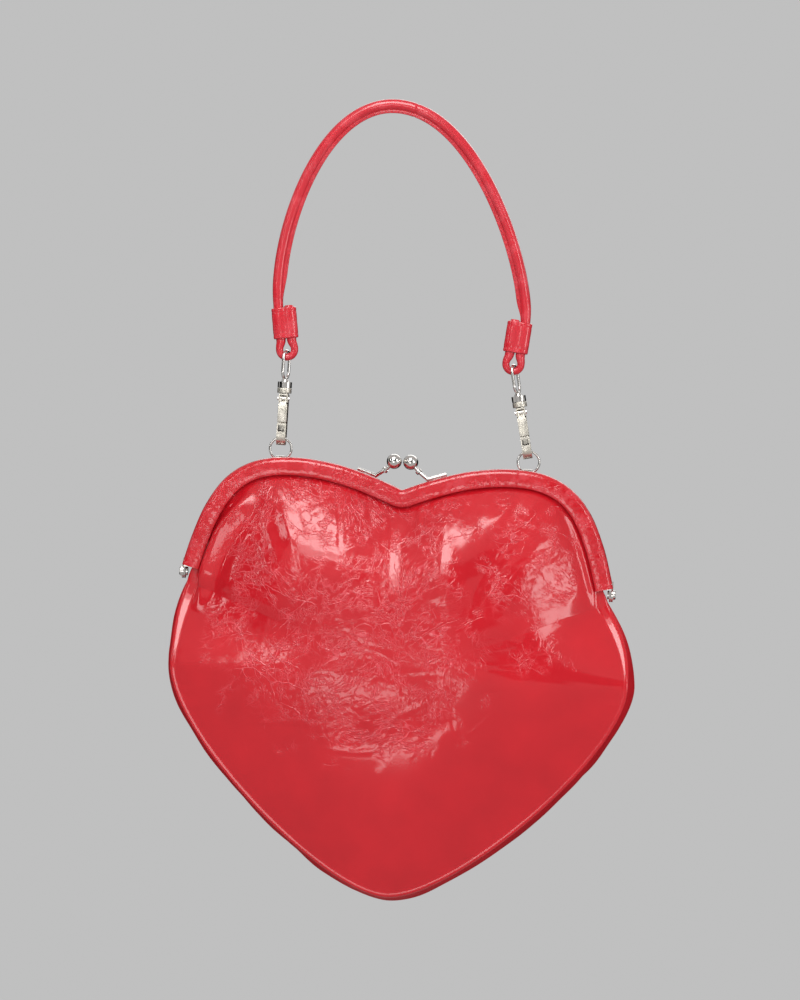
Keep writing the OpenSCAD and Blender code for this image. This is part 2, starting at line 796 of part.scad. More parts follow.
function seam_station(curve, t) = let (p = bez(curve, t), d = bez_dir(curve, t)) [p.x, p.y, -d.y, d.x];
seam_half = concat(
    [for (t = concat([0], steps(0, 1, 7))) seam_station(seam_up, t)],
    [for (t = steps(0, 1, 15)) seam_station(seam_low, t)]
);
seam_last = len(seam_half) - 1;
seam_path = concat(seam_half, flip([for (i = [0 : seam_last - 1]) mirrored(seam_half[i])]));

function hang(z) = pouch_shift * smooth((-frame_drop - z) / shift_span);
function hung(x, y, z) = [x + hang(z), y, z];
function grown(s) = smooth((seam_top.y - s[1]) / gusset_fade);
function seam_y(s) = mid(rim_y, gusset_w / 2, grown(s));
function inwards(p, d) = p + d * unit(centre - p);

// A station of a panel's edge: outer end, inner end, depth, power of its swell, and fold
function frame_rim(s) = [below(s, edge_n), below(s, mouth_n), rim_y, frame_power, fold_share];
function seam_rim(i) =
    let (
        k = min(i, 2 * seam_last - i),
        s = seam_path[i],
        p = [s[0], s[1]],
        fades = len(fold_fade_shares),
        fold = k < fades ? fold_share * fold_fade_shares[k] : k == fades ? fold_end : -1
    )
        [p, inwards(p, rim_w), seam_y(s), mid(frame_power, seam_power, grown(s)), fold];
rims = concat(
    [for (s = panel_path) frame_rim(s)],
    [for (i = [0 : 2 * seam_last]) seam_rim(i)]
);

// A point of a panel, w along from its edge, t below its outer face
function panel_point(rim, w, bulge, t) =
    let (
        deep = gusset_w / 2 + bulge,
        rest = max(1 - max(w, 0) / centre_share, 0),
        y = mid(rim[2], deep, 1 - pow(rest, rim[3])),
        p = w <= 0 ? mid(rim[0], rim[1], 1 + w) : mid(rim[1], centre, w),
        dir = unit(centre - rim[1]),
        rise = w <= 0 ? 0 : (deep - rim[2]) * rim[3] / centre_share * pow(rest, rim[3] - 1)
            / norm(centre - rim[1]),
        q = p + t * rise / sqrt(1 + rise * rise) * dir
    )
        hung(q.x, y - t / sqrt(1 + rise * rise), q.y);

function panel_rows(fold) = concat(
    [fold, fold < 0 ? 0 : fold + 0.02],
    [for (v = panel_row_shares) mid(max(fold, 0), centre_share, v)]
);
function lining_rows(fold) = concat(
    [max(fold, 0) + 0.03],
    [for (v = panel_row_shares) mid(max(fold, 0), centre_share, v)]
);
function fold_rows(fold) = fold > 0
    ? [-1, 0, 0.3 * fold, 0.65 * fold, fold]
    : [for (v = [0 : 0.25 : 1]) mid(-1, fold, v)];

// A panel's two faces, from the middle of the outer one round its edge to the inner one
module panel(bulge, folded, top, under) {
    rows = [for (rim = rims) panel_rows(folded ? rim[4] : -1)];
    last = len(rows[0]) - 1;
    skin(concat(
        [for (k = [last : -1 : 0]) [for (i = [0 : len(rims) - 1]) panel_point(rims[i], rows[i][k], bulge, top)]],
        [for (k = [0 : last]) [for (i = [0 : len(rims) - 1]) panel_point(rims[i], rows[i][k], bulge, under)]]
    ));
}

module lining(bulge, folded) {
    rows = [for (rim = rims) lining_rows(folded ? rim[4] : -1)];
    last = len(rows[0]) - 1;
    top = leather_t + lining_gap;
    under = top + lining_t;
    skin(concat(
        [for (k = [last : -1 : 0]) [for (i = [0 : len(rims) - 1]) panel_point(rims[i], rows[i][k], bulge, top)]],
        [for (k = [0 : last]) [for (i = [0 : len(rims) - 1]) panel_point(rims[i], rows[i][k], bulge, under)]]
    ));
}

module front_panel() color(leather) at_bag() front_half() panel(front_bulge, true, 0, leather_t);
module back_panel() color(leather) at_bag() panel(back_bulge, false, 0, leather_t);
module front_lining() color(lining_colour) at_bag() front_half() lining(front_bulge, true);
module back_lining() color(lining_colour) at_bag() lining(back_bulge, false);

// The front leather's margin along the frame
module front_fold() color(leather) at_bag() front_half() {
    frames = len(panel_path);
    reach = len(fold_fade_shares);
    order = concat(
        [for (i = [reach : -1 : 0]) frames + 2 * seam_last - i],
        [for (i = [0 : frames - 1]) i],
        [for (i = [0 : reach]) frames + i]
    );
    outer = [for (k = [0 : 4]) [for (i = order)
        panel_point(rims[i], fold_rows(rims[i][4])[k], front_bulge, 0)]];
    inner = [for (k = [0 : 4]) [for (i = order)
        panel_point(rims[i], fold_rows(rims[i][4])[k], front_bulge, leather_t)]];
    shell(outer, inner);
}

gusset_row_shares = [-1, -0.55, 0, 0.55, 1];
function gusset_point(s, v, half, t) =
    let (n = mid(gusset_bulge_top, gusset_bulge, grown(s)) * (1 - v * v) - t)
        hung(s[0] + n * s[2], v * half, s[1] + n * s[3]);

module gusset_strip(skip, top, under, shy) {
    path = [for (i = [skip : 2 * seam_last - skip]) seam_path[i]];
    shell(
        [for (v = gusset_row_shares) [for (s = path) gusset_point(s, v, seam_y(s) - shy, top)]],
        [for (v = gusset_row_shares) [for (s = path) gusset_point(s, v, seam_y(s) - shy, under)]]
    );
}

lining_shy = 0.9;
module gusset() color(leather) at_bag() gusset_strip(0, 0, leather_t, leather_t + seam_gap);
module gusset_lining() color(lining_colour) at_bag()
    gusset_strip(1, leather_t + lining_gap, leather_t + lining_gap + lining_t,
        leather_t + lining_gap + lining_t + lining_shy);

handle_cord();
left_handle_loop();
right_handle_loop();
left_keeper();
right_keeper();
left_swivel_eye();
left_hook();
left_gate();
left_gate_pin();
left_gate_spring();
right_swivel_eye();
right_hook();
right_gate();
right_gate_pin();
right_gate_spring();
left_ring();
right_ring();
left_ring_lug();
right_ring_lug();
front_channel();
back_channel();
front_cover();
back_cover();
front_paper_cord();
back_paper_cord();
hinge_rivets();
front_clasp_arm();
front_clasp_ball();
back_clasp_arm();
back_clasp_ball();
front_panel();
front_fold();
back_panel();
gusset();
front_lining();
back_lining();
gusset_lining();
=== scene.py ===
"""Looks of a heart shaped frame purse in crinkled coated leather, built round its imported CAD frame.

Every length is in millimetres until a mesh is made, and every place is counted from the middle of the rolled
handle, as in the CAD part. The outlines of the frame and of the pouch follow the same curves as the part's source.
"""

import logging
import math
from dataclasses import dataclass, field
from enum import Enum
from functools import reduce

import bmesh
import bpy
import numpy as np
from bpy.types import Material, Node, NodeSocket, NodeTree, Object
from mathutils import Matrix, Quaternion, Vector
from mathutils.bvhtree import BVHTree

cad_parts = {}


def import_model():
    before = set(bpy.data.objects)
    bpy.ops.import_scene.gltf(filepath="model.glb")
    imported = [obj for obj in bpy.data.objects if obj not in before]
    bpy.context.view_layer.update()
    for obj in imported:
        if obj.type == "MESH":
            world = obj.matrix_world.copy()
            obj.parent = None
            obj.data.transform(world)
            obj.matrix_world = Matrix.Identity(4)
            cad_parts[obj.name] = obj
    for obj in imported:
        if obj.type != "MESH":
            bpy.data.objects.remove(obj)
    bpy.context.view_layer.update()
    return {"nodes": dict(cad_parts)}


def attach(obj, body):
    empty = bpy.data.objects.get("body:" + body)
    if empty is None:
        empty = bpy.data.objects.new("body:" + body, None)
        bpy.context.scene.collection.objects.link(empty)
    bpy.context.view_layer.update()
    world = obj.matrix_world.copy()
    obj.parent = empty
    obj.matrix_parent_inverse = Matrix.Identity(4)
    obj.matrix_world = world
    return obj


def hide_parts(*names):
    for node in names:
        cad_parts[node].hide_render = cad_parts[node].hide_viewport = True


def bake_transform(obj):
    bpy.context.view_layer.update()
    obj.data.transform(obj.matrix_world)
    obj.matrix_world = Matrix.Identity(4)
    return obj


LOG = logging.getLogger("purse")
MM = 0.001
NOTCH = np.array((0.0, -2.6, -196.4))  # the heart's notch, on the frame's parting plane
TURN = 2 * math.pi


class Side(Enum):
    """The two sides of the bag, with the sign of their X."""

    LEFT = -1
    RIGHT = 1


class Face(Enum):
    """The two faces of the bag, with the sign of their Y."""

    FRONT = -1
    BACK = 1


class End(Enum):
    """How the end of a skin is closed."""

    FLAT = "one face"
    POLE = "a fan round a middle point"


# Small geometry


def smooth(a: np.ndarray | float) -> np.ndarray | float:
    """An S-shaped step from 0 at a = 0 to 1 at a = 1."""
    b = np.clip(a, 0, 1)
    return b * b * (3 - 2 * b)


def bezier(p: np.ndarray, t: np.ndarray) -> tuple[np.ndarray, np.ndarray]:
    """A cubic curve.

    Args:
        p: Its four control points, (4, 2).
        t: Places along it, from 0 to 1.

    Returns:
        Its points and its unit directions, each (len(t), 2).
    """
    t = t[:, None]
    u = 1 - t
    place = u**3 * p[0] + 3 * u**2 * t * p[1] + 3 * u * t * t * p[2] + t**3 * p[3]
    way = u**2 * (p[1] - p[0]) + 2 * u * t * (p[2] - p[1]) + t * t * (p[3] - p[2])
    return place, way / np.linalg.norm(way, axis=1, keepdims=True)


def spaced(points: np.ndarray, step: float) -> np.ndarray:
    """Rows of numbers taken anew at an even distance along their first two columns.

    Args:
        points: Rows whose first two columns are a place.
        step: The wished distance between two rows.

    Returns:
        The new rows, with both ends kept.
    """
    gaps = np.linalg.norm(np.diff(points[:, :2], axis=0), axis=1)
    keep = np.concatenate(([True], gaps > 1e-6))
    points = points[keep]
    run = np.concatenate(([0], np.cumsum(gaps[gaps > 1e-6])))
    new = np.linspace(0, run[-1], max(int(round(run[-1] / step)), 2) + 1)
    return np.stack([np.interp(new, run, column) for column in points.T], axis=1)


def curved(points: tuple, step: float) -> np.ndarray:
    """A soft line through a few points, as a row of points about a step apart."""
    p = np.array(points, float)
    if len(p) == 2:
        return spaced(p, step)
    padded = np.vstack((2 * p[0] - p[1], p, 2 * p[-1] - p[-2]))
    pieces = []
    for a, b, c, d in zip(padded[:-3], padded[1:-2], padded[2:-1], padded[3:]):
        t = np.linspace(0, 1, 12, endpoint=False)[:, None]
        bend, twist = 2 * a - 5 * b + 4 * c - d, 3 * b - a - 3 * c + d
        pieces.append(0.5 * (2 * b + (c - a) * t + bend * t**2 + twist * t**3))
    return spaced(np.vstack((*pieces, p[-1:])), step)


def waves(x: np.ndarray, z: np.ndarray, size: float, seed: int, count: int = 16) -> np.ndarray:
    """Soft swells of about one size in all directions, from -1 to 1 or a little more.

    Args:
        x: Places across, in millimetres.
        z: Places upwards, in millimetres.
        size: The usual distance from crest to crest.
        seed: Picks the pattern.
        count: Number of swells that are added up.

    Returns:
        The height at each place.
    """
    rng = np.random.default_rng(seed)
    total = np.zeros(np.broadcast(x, z).shape)
    angles, lengths = rng.uniform(0, math.pi, count), rng.uniform(0.7, 1.6, count) * size
    for angle, length, phase in zip(angles, lengths, rng.uniform(0, TURN, count)):
        total += np.cos(TURN * (x * math.cos(angle) + z * math.sin(angle)) / length + phase)
    return total / math.sqrt(count)


def skin_normals(grid: np.ndarray, towards: np.ndarray | None = None) -> np.ndarray:
    """Unit normals of a grid of rings, closed round each ring.

    Args:
        grid: Points, (rings, round, 3).
        towards: A direction that the normals should lean to, or None for away from each ring's middle.

    Returns:
        Normals, the same shape.
    """
    along = np.gradient(grid, axis=0)
    across = np.roll(grid, -1, axis=1) - np.roll(grid, 1, axis=1)
    normal = np.cross(along, across)
    normal /= np.maximum(np.linalg.norm(normal, axis=2, keepdims=True), 1e-9)
    out = grid - grid.mean(axis=1, keepdims=True) if towards is None else towards
    return normal * np.sign((normal * out).sum(axis=2).mean())


def new_skin(name: str, points: list, faces: list) -> Object:
    """A new smooth piece of points in metres, with its faces outwards."""
    mesh = bpy.data.meshes.new(name)
    mesh.from_pydata(points, [], faces)
    work = bmesh.new()
    work.from_mesh(mesh)
    bmesh.ops.recalc_face_normals(work, faces=work.faces)
    work.to_mesh(mesh)
    work.free()
    mesh.polygons.foreach_set("use_smooth", [True] * len(mesh.polygons))
    return linked(bpy.data.objects.new(name, mesh))


def linked(item: Object) -> Object:
    """Puts a new object into the scene."""
    bpy.context.collection.objects.link(item)
    return item


def loft(
    name: str, rings: np.ndarray, start: End = End.FLAT, stop: End = End.FLAT, loop: bool = False, sharp: float = 50.0
) -> Object:
    """Joins rings of points into one closed skin with its faces outwards.

    Args:
        name: The piece's name.
        rings: Points in millimetres, (rings, round, 3).
        start: How the first ring is closed.
        stop: How the last ring is closed.
        loop: True to join the last ring to the first, without ends.
        sharp: Edges that turn by more degrees than this stay crisp.

    Returns:
        The new object, with its place in its mesh.
    """
    count, side = rings.shape[:2]
    index = np.arange(count * side).reshape(count, side)
    below, above = (index, np.roll(index, -1, axis=0)) if loop else (index[:-1], index[1:])
    quads = np.stack((below, np.roll(below, -1, axis=1), np.roll(above, -1, axis=1), above), axis=-1)
    points = [tuple(p) for p in rings.reshape(-1, 3) * MM]
    faces = [tuple(q) for q in quads.reshape(-1, 4).tolist()]
    for ring, end in () if loop else ((0, start), (count - 1, stop)):
        rim = index[ring].tolist()
        if end is End.FLAT:
            faces.append(tuple(rim))
        else:
            points.append(tuple(rings[ring].mean(axis=0) * MM))
            faces += [(a, b, len(points) - 1) for a, b in zip(rim, rim[1:] + rim[:1])]
    piece = new_skin(name, points, faces)
    piece.data.set_sharp_from_angle(angle=math.radians(sharp))
    return piece


def mark(piece: Object, name: str, values: np.ndarray) -> None:
    """Stores one number for each point of a piece, for its material; points past the list get 0."""
    full = np.zeros(len(piece.data.vertices), np.float32)
    full[: len(values)] = values
    piece.data.attributes.new(name, "FLOAT", "POINT").data.foreach_set("value", full)


# Finishes


def linear(colour: str) -> tuple[float, float, float, float]:
    """An sRGB hex colour as linear red, green, blue and alpha."""
    channels = (int(colour[i : i + 2], 16) / 255 for i in (1, 3, 5))
    return (*(c / 12.92 if c <= 0.04045 else ((c + 0.055) / 1.055) ** 2.4 for c in channels), 1.0)


def add(
    tree: NodeTree, kind: str, settings: dict | None = None, values: dict | None = None,
    links: dict | None = None,
) -> Node:
    """Adds one node to a material.

    Args:
        tree: The material's node tree.
        kind: The node's type name.
        settings: Its properties.
        values: Numbers or colours of its inputs, by name or number.
        links: Outputs that feed its inputs, by name or number.

    Returns:
        The new node.
    """
    node = tree.nodes.new(kind)
    for key, value in (settings or {}).items():
        setattr(node, key, value)
    for key, value in (values or {}).items():
        node.inputs[key].default_value = value
    for key, source in (links or {}).items():
        tree.links.new(source, node.inputs[key])
    return node


def new_tree(name: str) -> tuple[Material, NodeTree, NodeSocket]:
    """A new material with an empty tree, and the object coordinates in it."""
    material = bpy.data.materials.new(name)
    material.use_nodes = True
    material.node_tree.nodes.clear()
    tree = material.node_tree
    return material, tree, add(tree, "ShaderNodeTexCoord").outputs["Object"]


def scaled(tree: NodeTree, coords: NodeSocket, size: float | tuple[float, float, float]) -> NodeSocket:
    """Coordinates in which one unit is the given size in millimetres, along all axes or each."""
    times = tuple(1 / (s * MM) for s in (size if isinstance(size, tuple) else (size,) * 3))
    return add(tree, "ShaderNodeVectorMath", {"operation": "MULTIPLY"}, {1: times}, {0: coords}).outputs[0]


def noise(
    tree: NodeTree, coords: NodeSocket, size: float | tuple[float, float, float], detail: float, output: str = "Fac",
    **values: float,
) -> NodeSocket:
    """Soft noise round 0.5, whose swells are about one size in millimetres."""
    values = {"Scale": 1.0, "Detail": detail, **values}
    return add(tree, "ShaderNodeTexNoise", values=values, links={"Vector": scaled(tree, coords, size)}).outputs[output]


def ribs(tree: NodeTree, coords: NodeSocket, pitch: float, **values: float) -> NodeSocket:
    """Slanting ribs from 0 to 1, for a weave or a twist of a pitch in millimetres."""
    settings = {"wave_type": "BANDS", "bands_direction": "DIAGONAL"}
    return add(tree, "ShaderNodeTexWave", settings, values, {"Vector": scaled(tree, coords, pitch)}).outputs["Fac"]


def drifted(
    tree: NodeTree, coords: NodeSocket, start: NodeSocket, size: float, detail: float, reach: float
) -> NodeSocket:
    """Coordinates pushed about by noise on other coordinates.

    Args:
        tree: The material's node tree.
        coords: The coordinates that the noise lies on.
        start: The coordinates that are pushed.
        size: Millimetres from one swell of the noise to the next.
        detail: The noise's detail.
        reach: Millimetres of push for the whole range of the noise, of which it uses about a fifth.

    Returns:
        The new coordinates.
    """
    push = noise(tree, coords, size, detail, "Color")
    even = add(tree, "ShaderNodeVectorMath", {"operation": "SUBTRACT"}, {1: (0.5,) * 3}, {0: push}).outputs[0]
    by = {1: (reach * MM,) * 3}
    return add(tree, "ShaderNodeVectorMath", {"operation": "MULTIPLY_ADD"}, by, {0: even, 2: start}).outputs[0]


def remapped(
    tree: NodeTree, value: NodeSocket, start: tuple[float, float], stop: tuple[float, float] = (0.0, 1.0),
    soft: bool = True,
) -> NodeSocket:
    """A value taken from one range to another, by an S-shaped step or, if not soft, a straight one."""
    settings = {"interpolation_type": "SMOOTHSTEP" if soft else "LINEAR"}
    values = {"From Min": start[0], "From Max": start[1], "To Min": stop[0], "To Max": stop[1]}
    return add(tree, "ShaderNodeMapRange", settings, values, {"Value": value}).outputs[0]


def maths(tree: NodeTree, operation: str, *terms: NodeSocket | float) -> NodeSocket:
    """One step of arithmetic on sockets and numbers."""
    values = {i: term for i, term in enumerate(terms) if isinstance(term, float)}
    links = {i: term for i, term in enumerate(terms) if not isinstance(term, float)}
    return add(tree, "ShaderNodeMath", {"operation": operation}, values, links).outputs[0]


def mixed(tree: NodeTree, share: NodeSocket, first: NodeSocket | str, second: str) -> NodeSocket:
    """A colour between two: a socket or an sRGB hex colour, and another hex colour."""
    values, links = {7: linear(second)}, {0: share}
    if isinstance(first, str):
        values[6] = linear(first)
    else:
        links[6] = first
    return add(tree, "ShaderNodeMix", {"data_type": "RGBA"}, values, links).outputs[2]


def raised(tree: NodeTree, height: NodeSocket, unit: float = 1.0) -> NodeSocket:
    """The normal bent by a height, counted in units of so many millimetres."""
    return add(tree, "ShaderNodeBump", None, {"Strength": 1.0, "Distance": unit * MM}, {"Height": height}).outputs[0]


def end_in(tree: NodeTree, kind: str, values: dict, links: dict | None = None) -> None:
    """Ends a material in one shader."""
    shader = add(tree, kind, None, values, links)
    add(tree, "ShaderNodeOutputMaterial", links={"Surface": shader.outputs[0]})


@dataclass(frozen=True)
class Creases:
    """One size of creases: the edges of stretched cells, shown in patches."""

    cell: tuple[float, float, float]  # mm along each axis
    width: float  # share of a cell that its edge takes
    share: float  # height, as a share of the longest creases'
    patch: float  # mm, size of the patches in which they show


@dataclass(frozen=True)
class CoatedLeather:
    """Thin calf leather with a clear polyurethane coat, crushed so that its gloss breaks into fine creases.

    The coat mirrors the softboxes as pink patches over the deep red. Each crease draws a thin line through them,
    bright or dark by its slope. A painted highlight makes the colour paler along the crests of the creases, and in
    patches.
    """

    name: str
    crease: float  # share of the surface that is creased, where the piece has no marks of its own
    marked: bool = False  # True where the piece says for each point how creased it is
    colour: str = "#CB1421"
    deep: str = "#AE0D1A"
    roughness: float = 0.42
    coat: float = 1.0  # how much of the clear coat there is
    coat_roughness: float = 0.09
    coat_ior: float = 1.45
    sheen: float = 0.12  # specular level of the leather under the coat
    wear_and_highlight: str = "#DE5660"  # painted highlight: the paler colour along the crests of the creases
    crest_highlight_share: float = 0.6
    highlight_patches: float = 0.0  # how strong the painted highlight is in patches
    line_height: float = 0.12  # mm, height of the longest creases
    grain: float = 0.012  # mm, height of the pores
    layers: tuple[Creases, ...] = (
        Creases((34, 20, 11), 0.028, 1.0, 9), Creases((9, 12, 17), 0.036, 0.9, 6),
        Creases((6.4, 5, 3.2), 0.07, 0.65, 5), Creases((1.8, 1.8, 1.4), 0.17, 0.5, 5),
    )

    def make(self) -> Material:
        """Builds the material."""
        material, tree, coords = new_tree(self.name)
        # A slow drift, so that no crease is straight, and a wider swirl that turns the way the long ones run
        bent = drifted(tree, coords, coords, 7, 3.0, 4.0)
        swirled = drifted(tree, coords, bent, 45, 1.0, 70.0)
        # How crushed the leather is, less in patches of 14 mm
        share = self.crease
        if self.marked:
            share = add(tree, "ShaderNodeAttribute", {"attribute_name": "crease"}).outputs["Fac"]
        room = remapped(tree, noise(tree, coords, 14, 2.0), (0.36, 0.6), (0.12, 1.0))
        crushed = maths(tree, "MULTIPLY", share, room)
        heights = []
        for layer in self.layers:
            place = {"Vector": scaled(tree, swirled, layer.cell)}
            cells = add(tree, "ShaderNodeTexVoronoi", {"feature": "DISTANCE_TO_EDGE"}, {"Scale": 1.0}, place)
            line = remapped(tree, cells.outputs["Distance"], (0.0, layer.width), (self.line_height * layer.share, 0.0))
            gate = remapped(tree, noise(tree, coords, layer.patch, 1.0), (0.42, 0.54))
            heights.append(maths(tree, "MULTIPLY", line, gate))
        total, crests = (reduce(lambda a, b: maths(tree, way, a, b), heights) for way in ("ADD", "MAXIMUM"))
        # Pores of 0.9 mm are seen as a faint orange peel in the coat
        creased = maths(tree, "MULTIPLY", total, crushed)
        bump = raised(tree, maths(tree, "MULTIPLY_ADD", noise(tree, coords, 0.9, 2.0), self.grain, creased))
        # Painted highlight: the colour is made paler along the crests of the creases, and in patches of 9 mm
        crest_highlight = maths(tree, "MULTIPLY", crests, crushed)
        pale = remapped(tree, crest_highlight, (0.0, self.line_height), (0.0, self.crest_highlight_share), soft=False)
        if self.highlight_patches:
            highlight_noise = noise(tree, coords, 9, 5.0, Roughness=0.62)
            pale = maths(tree, "MAXIMUM", pale, remapped(tree, highlight_noise, (0.5, 0.6), (0.0, self.highlight_patches)))
        # The dye is a little deeper in some places, over 25 mm
        dyed = mixed(tree, noise(tree, coords, 25, 3.0), self.colour, self.deep)
        # The base colour below carries the painted highlight
        end_in(
            tree, "ShaderNodeBsdfPrincipled",
            {
                "Roughness": self.roughness, "Specular IOR Level": self.sheen, "Coat Weight": self.coat,
                "Coat Roughness": self.coat_roughness, "Coat IOR": self.coat_ior,
            },
            {"Base Color": mixed(tree, pale, dyed, self.wear_and_highlight), "Normal": bump, "Coat Normal": bump},
        )
        return material


@dataclass(frozen=True)
class PlatedMetal:
    """Cast or bent metal, polished and nickel plated: near-white mirror with faint ripples and hairline wear."""

    name: str
    colour: str = "#E4E2DF"
    roughness: float = 0.07
    ripple: float = 0.006  # mm, height of the polishing ripples
    wear_and_highlight: str = "#CFC9C2"
    hairline: float = 2.6  # how much rougher the hairlines are

    def make(self) -> Material:
        """Builds the material."""
        material, tree, coords = new_tree(self.name)
        ripples = maths(tree, "MULTIPLY", noise(tree, coords, 1.6, 2.0), self.ripple)
        # Hairlines 0.15 mm apart along the height, worn into the plating
        hairs = noise(tree, coords, (0.15, 0.15, 3.0), 3.0)
        rough = remapped(tree, hairs, (0.4, 0.75), (self.roughness, self.roughness * self.hairline), soft=False)
        colour = mixed(tree, noise(tree, coords, 5, 2.0), self.colour, self.wear_and_highlight)
        links = {"Base Color": colour, "Roughness": rough, "Normal": raised(tree, ripples)}
        end_in(tree, "ShaderNodeBsdfPrincipled", {"Metallic": 1.0}, links)
        return material


@dataclass(frozen=True)
class WovenTwill:
    """Polyester twill of the lining: a soft sheen with slanting ribs, and a painted shade between the yarns."""

    name: str = "tan_polyester_twill"
    yarn: str = "#B9917C"
    gap_shade: str = "#7E5A49"
    pitch: float = 0.9  # mm, drawn coarser than the real 0.4 mm so that it shows
    height: float = 0.12  # mm, of the ribs

    def make(self) -> Material:
        """Builds the material."""
        material, tree, coords = new_tree(self.name)
        rows = ribs(tree, coords, self.pitch, Scale=0.55, Distortion=0.4, Detail=1.0)
        weave = maths(tree, "MULTIPLY", rows, noise(tree, coords, 0.5, 3.0))
        values = {"Roughness": 0.62, "Sheen Weight": 0.3, "Sheen Roughness": 0.4}
        # The low places between the yarns get the darker colour as painted shade
        links = {"Base Color": mixed(tree, weave, self.gap_shade, self.yarn), "Normal": raised(tree, weave, self.height)}
        end_in(tree, "ShaderNodeBsdfPrincipled", values, links)
        return material


@dataclass(frozen=True)
class FibreStrand:
    """Spun or twisted fibre, such as bonded thread or kraft paper cord: matt, with slanting strands and painted shade
    in the grooves between them.
    """

    name: str
    light: str
    # painted shade in the grooves between the strands
    dark: str
    pitch: float  # mm from strand to strand
    height: float = 0.1  # mm, of the strands

    def make(self) -> Material:
        """Builds the material."""
        material, tree, coords = new_tree(self.name)
        twist = ribs(tree, coords, self.pitch, Scale=0.5, Distortion=1.2, Detail=2.0)
        # The grooves between the strands get the darker colour as painted shade
        links = {"Base Color": mixed(tree, twist, self.dark, self.light), "Normal": raised(tree, twist, self.height)}
        end_in(tree, "ShaderNodeBsdfPrincipled", {"Roughness": 0.7}, links)
        return material


def dress(piece: Object, material: Material) -> None:
    """Gives a piece one material."""
    piece.data.materials.clear()
    piece.data.materials.append(material)


# The lines of the frame and the pouch


FINE = 400  # points of a curve before it is spaced anew
MIRROR = (-1, 1, -1, 1)  # turns rows of x, z and a direction over to the other side


@dataclass(frozen=True)
class HeartPlan:
    """The heart's outlines, counted from its notch. They are the curves of the part's source."""

    frame_half_w: float = 111.5
    frame_drop: float = 43.5
    lobe_rise: float = 13.6
    lobe_x: float = 57.0
    notch_slope: float = math.radians(22.4)
    notch_r: float = 1.5
    end_splay: float = math.radians(14)
    seam_half_w: float = 118.0
    widest_drop: float = 95.0
    tip_drop: float = 209.6
    seam_top_drop: float = 53.0
    seam_inset: float = 3.0
    seam_lead: float = math.radians(30)
    pouch_shift: float = 4.4
    shift_span: float = 45.0
    gusset_w: float = 44.0
    gusset_fade: float = 45.0
    rim_depth: float = 4.25

    def crest(self, stop: float, step: float) -> np.ndarray:
        """The frame's crest from its left end over both lobes to its right end.

        Args:
            stop: How far it ends short of the frame's ends.
            step: Distance between two stations.

        Returns:
            Rows of x, z and the two parts of the direction into the heart.
        """
        up = np.array((math.cos(self.notch_slope), math.sin(self.notch_slope)))
        start = self.notch_r * np.array((up[1], 1 - up[0]))
        top = np.array((self.lobe_x, self.lobe_rise))
        foot = np.array((self.frame_half_w, -self.frame_drop))
        reach = 0.72 * (self.frame_drop + self.lobe_rise)
        inner = np.array((start, start + 0.32 * self.lobe_x * up, top - (0.384 * self.lobe_x, 0), top))
        lean = np.array((-math.sin(self.end_splay), math.cos(self.end_splay)))
        outer = np.array((top, top + (0.6 * (self.frame_half_w - self.lobe_x), 0), foot + reach * lean, foot))
        a = np.linspace(0, self.notch_slope, 6)[:-1]
        rows = [np.stack((self.notch_r * np.sin(a), self.notch_r * (1 - np.cos(a)), np.sin(a), -np.cos(a)), axis=1)]
        for curve, last in ((inner, 1.0), (outer, 1 - stop / (3 * reach))):
            place, way = bezier(curve, np.linspace(0, last, FINE))
            rows.append(np.column_stack((place, way[:, 1], -way[:, 0])))
        half = spaced(np.vstack(rows), step)
        half[:, 2:] /= np.linalg.norm(half[:, 2:], axis=1, keepdims=True)
        return np.vstack((half[:0:-1] * MIRROR, half))

    def seam(self, step: float) -> np.ndarray:
        """The seam between a panel and the gusset, from its right top round the tip to its left top.

        Args:
            step: Distance between two stations.

        Returns:
            Rows of x, z and the two parts of the outward direction.
        """
        top = np.array((self.frame_half_w - self.seam_inset, -self.seam_top_drop))
        side = np.array((self.seam_half_w, -self.widest_drop))
        up_h, low_h = top[1] - side[1], self.tip_drop - self.widest_drop
        lead = np.array((math.sin(self.seam_lead), -math.cos(self.seam_lead)))
        upper = np.array((top, top + 0.3 * up_h * lead, side + (0, 0.5 * up_h), side))
        tip = np.array((0, -self.tip_drop))
        lower = np.array((side, side - (0, 0.318 * low_h), tip + (0.279 * self.seam_half_w, 0), tip))
        rows = []
        for curve in (upper, lower):
            place, way = bezier(curve, np.linspace(0, 1, FINE))
            rows.append(np.column_stack((place, -way[:, 1], way[:, 0])))
        half = spaced(np.vstack(rows), step)
        half[:, 2:] /= np.linalg.norm(half[:, 2:], axis=1, keepdims=True)
        return np.vstack((half, half[-2::-1] * MIRROR))

    def grown(self, z: np.ndarray) -> np.ndarray:
        """How far the gusset has grown to its full width at a height, from 0 to 1."""
        return smooth((-self.seam_top_drop - z) / self.gusset_fade)

    def seam_depth(self, z: np.ndarray) -> np.ndarray:
        """Distance of the seams from the bag's middle plane at a height."""
        return self.rim_depth + (self.gusset_w / 2 - self.rim_depth) * self.grown(z)

    def hang(self, z: np.ndarray) -> np.ndarray:
        """How far the soft pouch hangs to the right at a height."""
        return self.pouch_shift * smooth((-self.frame_drop - z) / self.shift_span)


PLAN = HeartPlan()


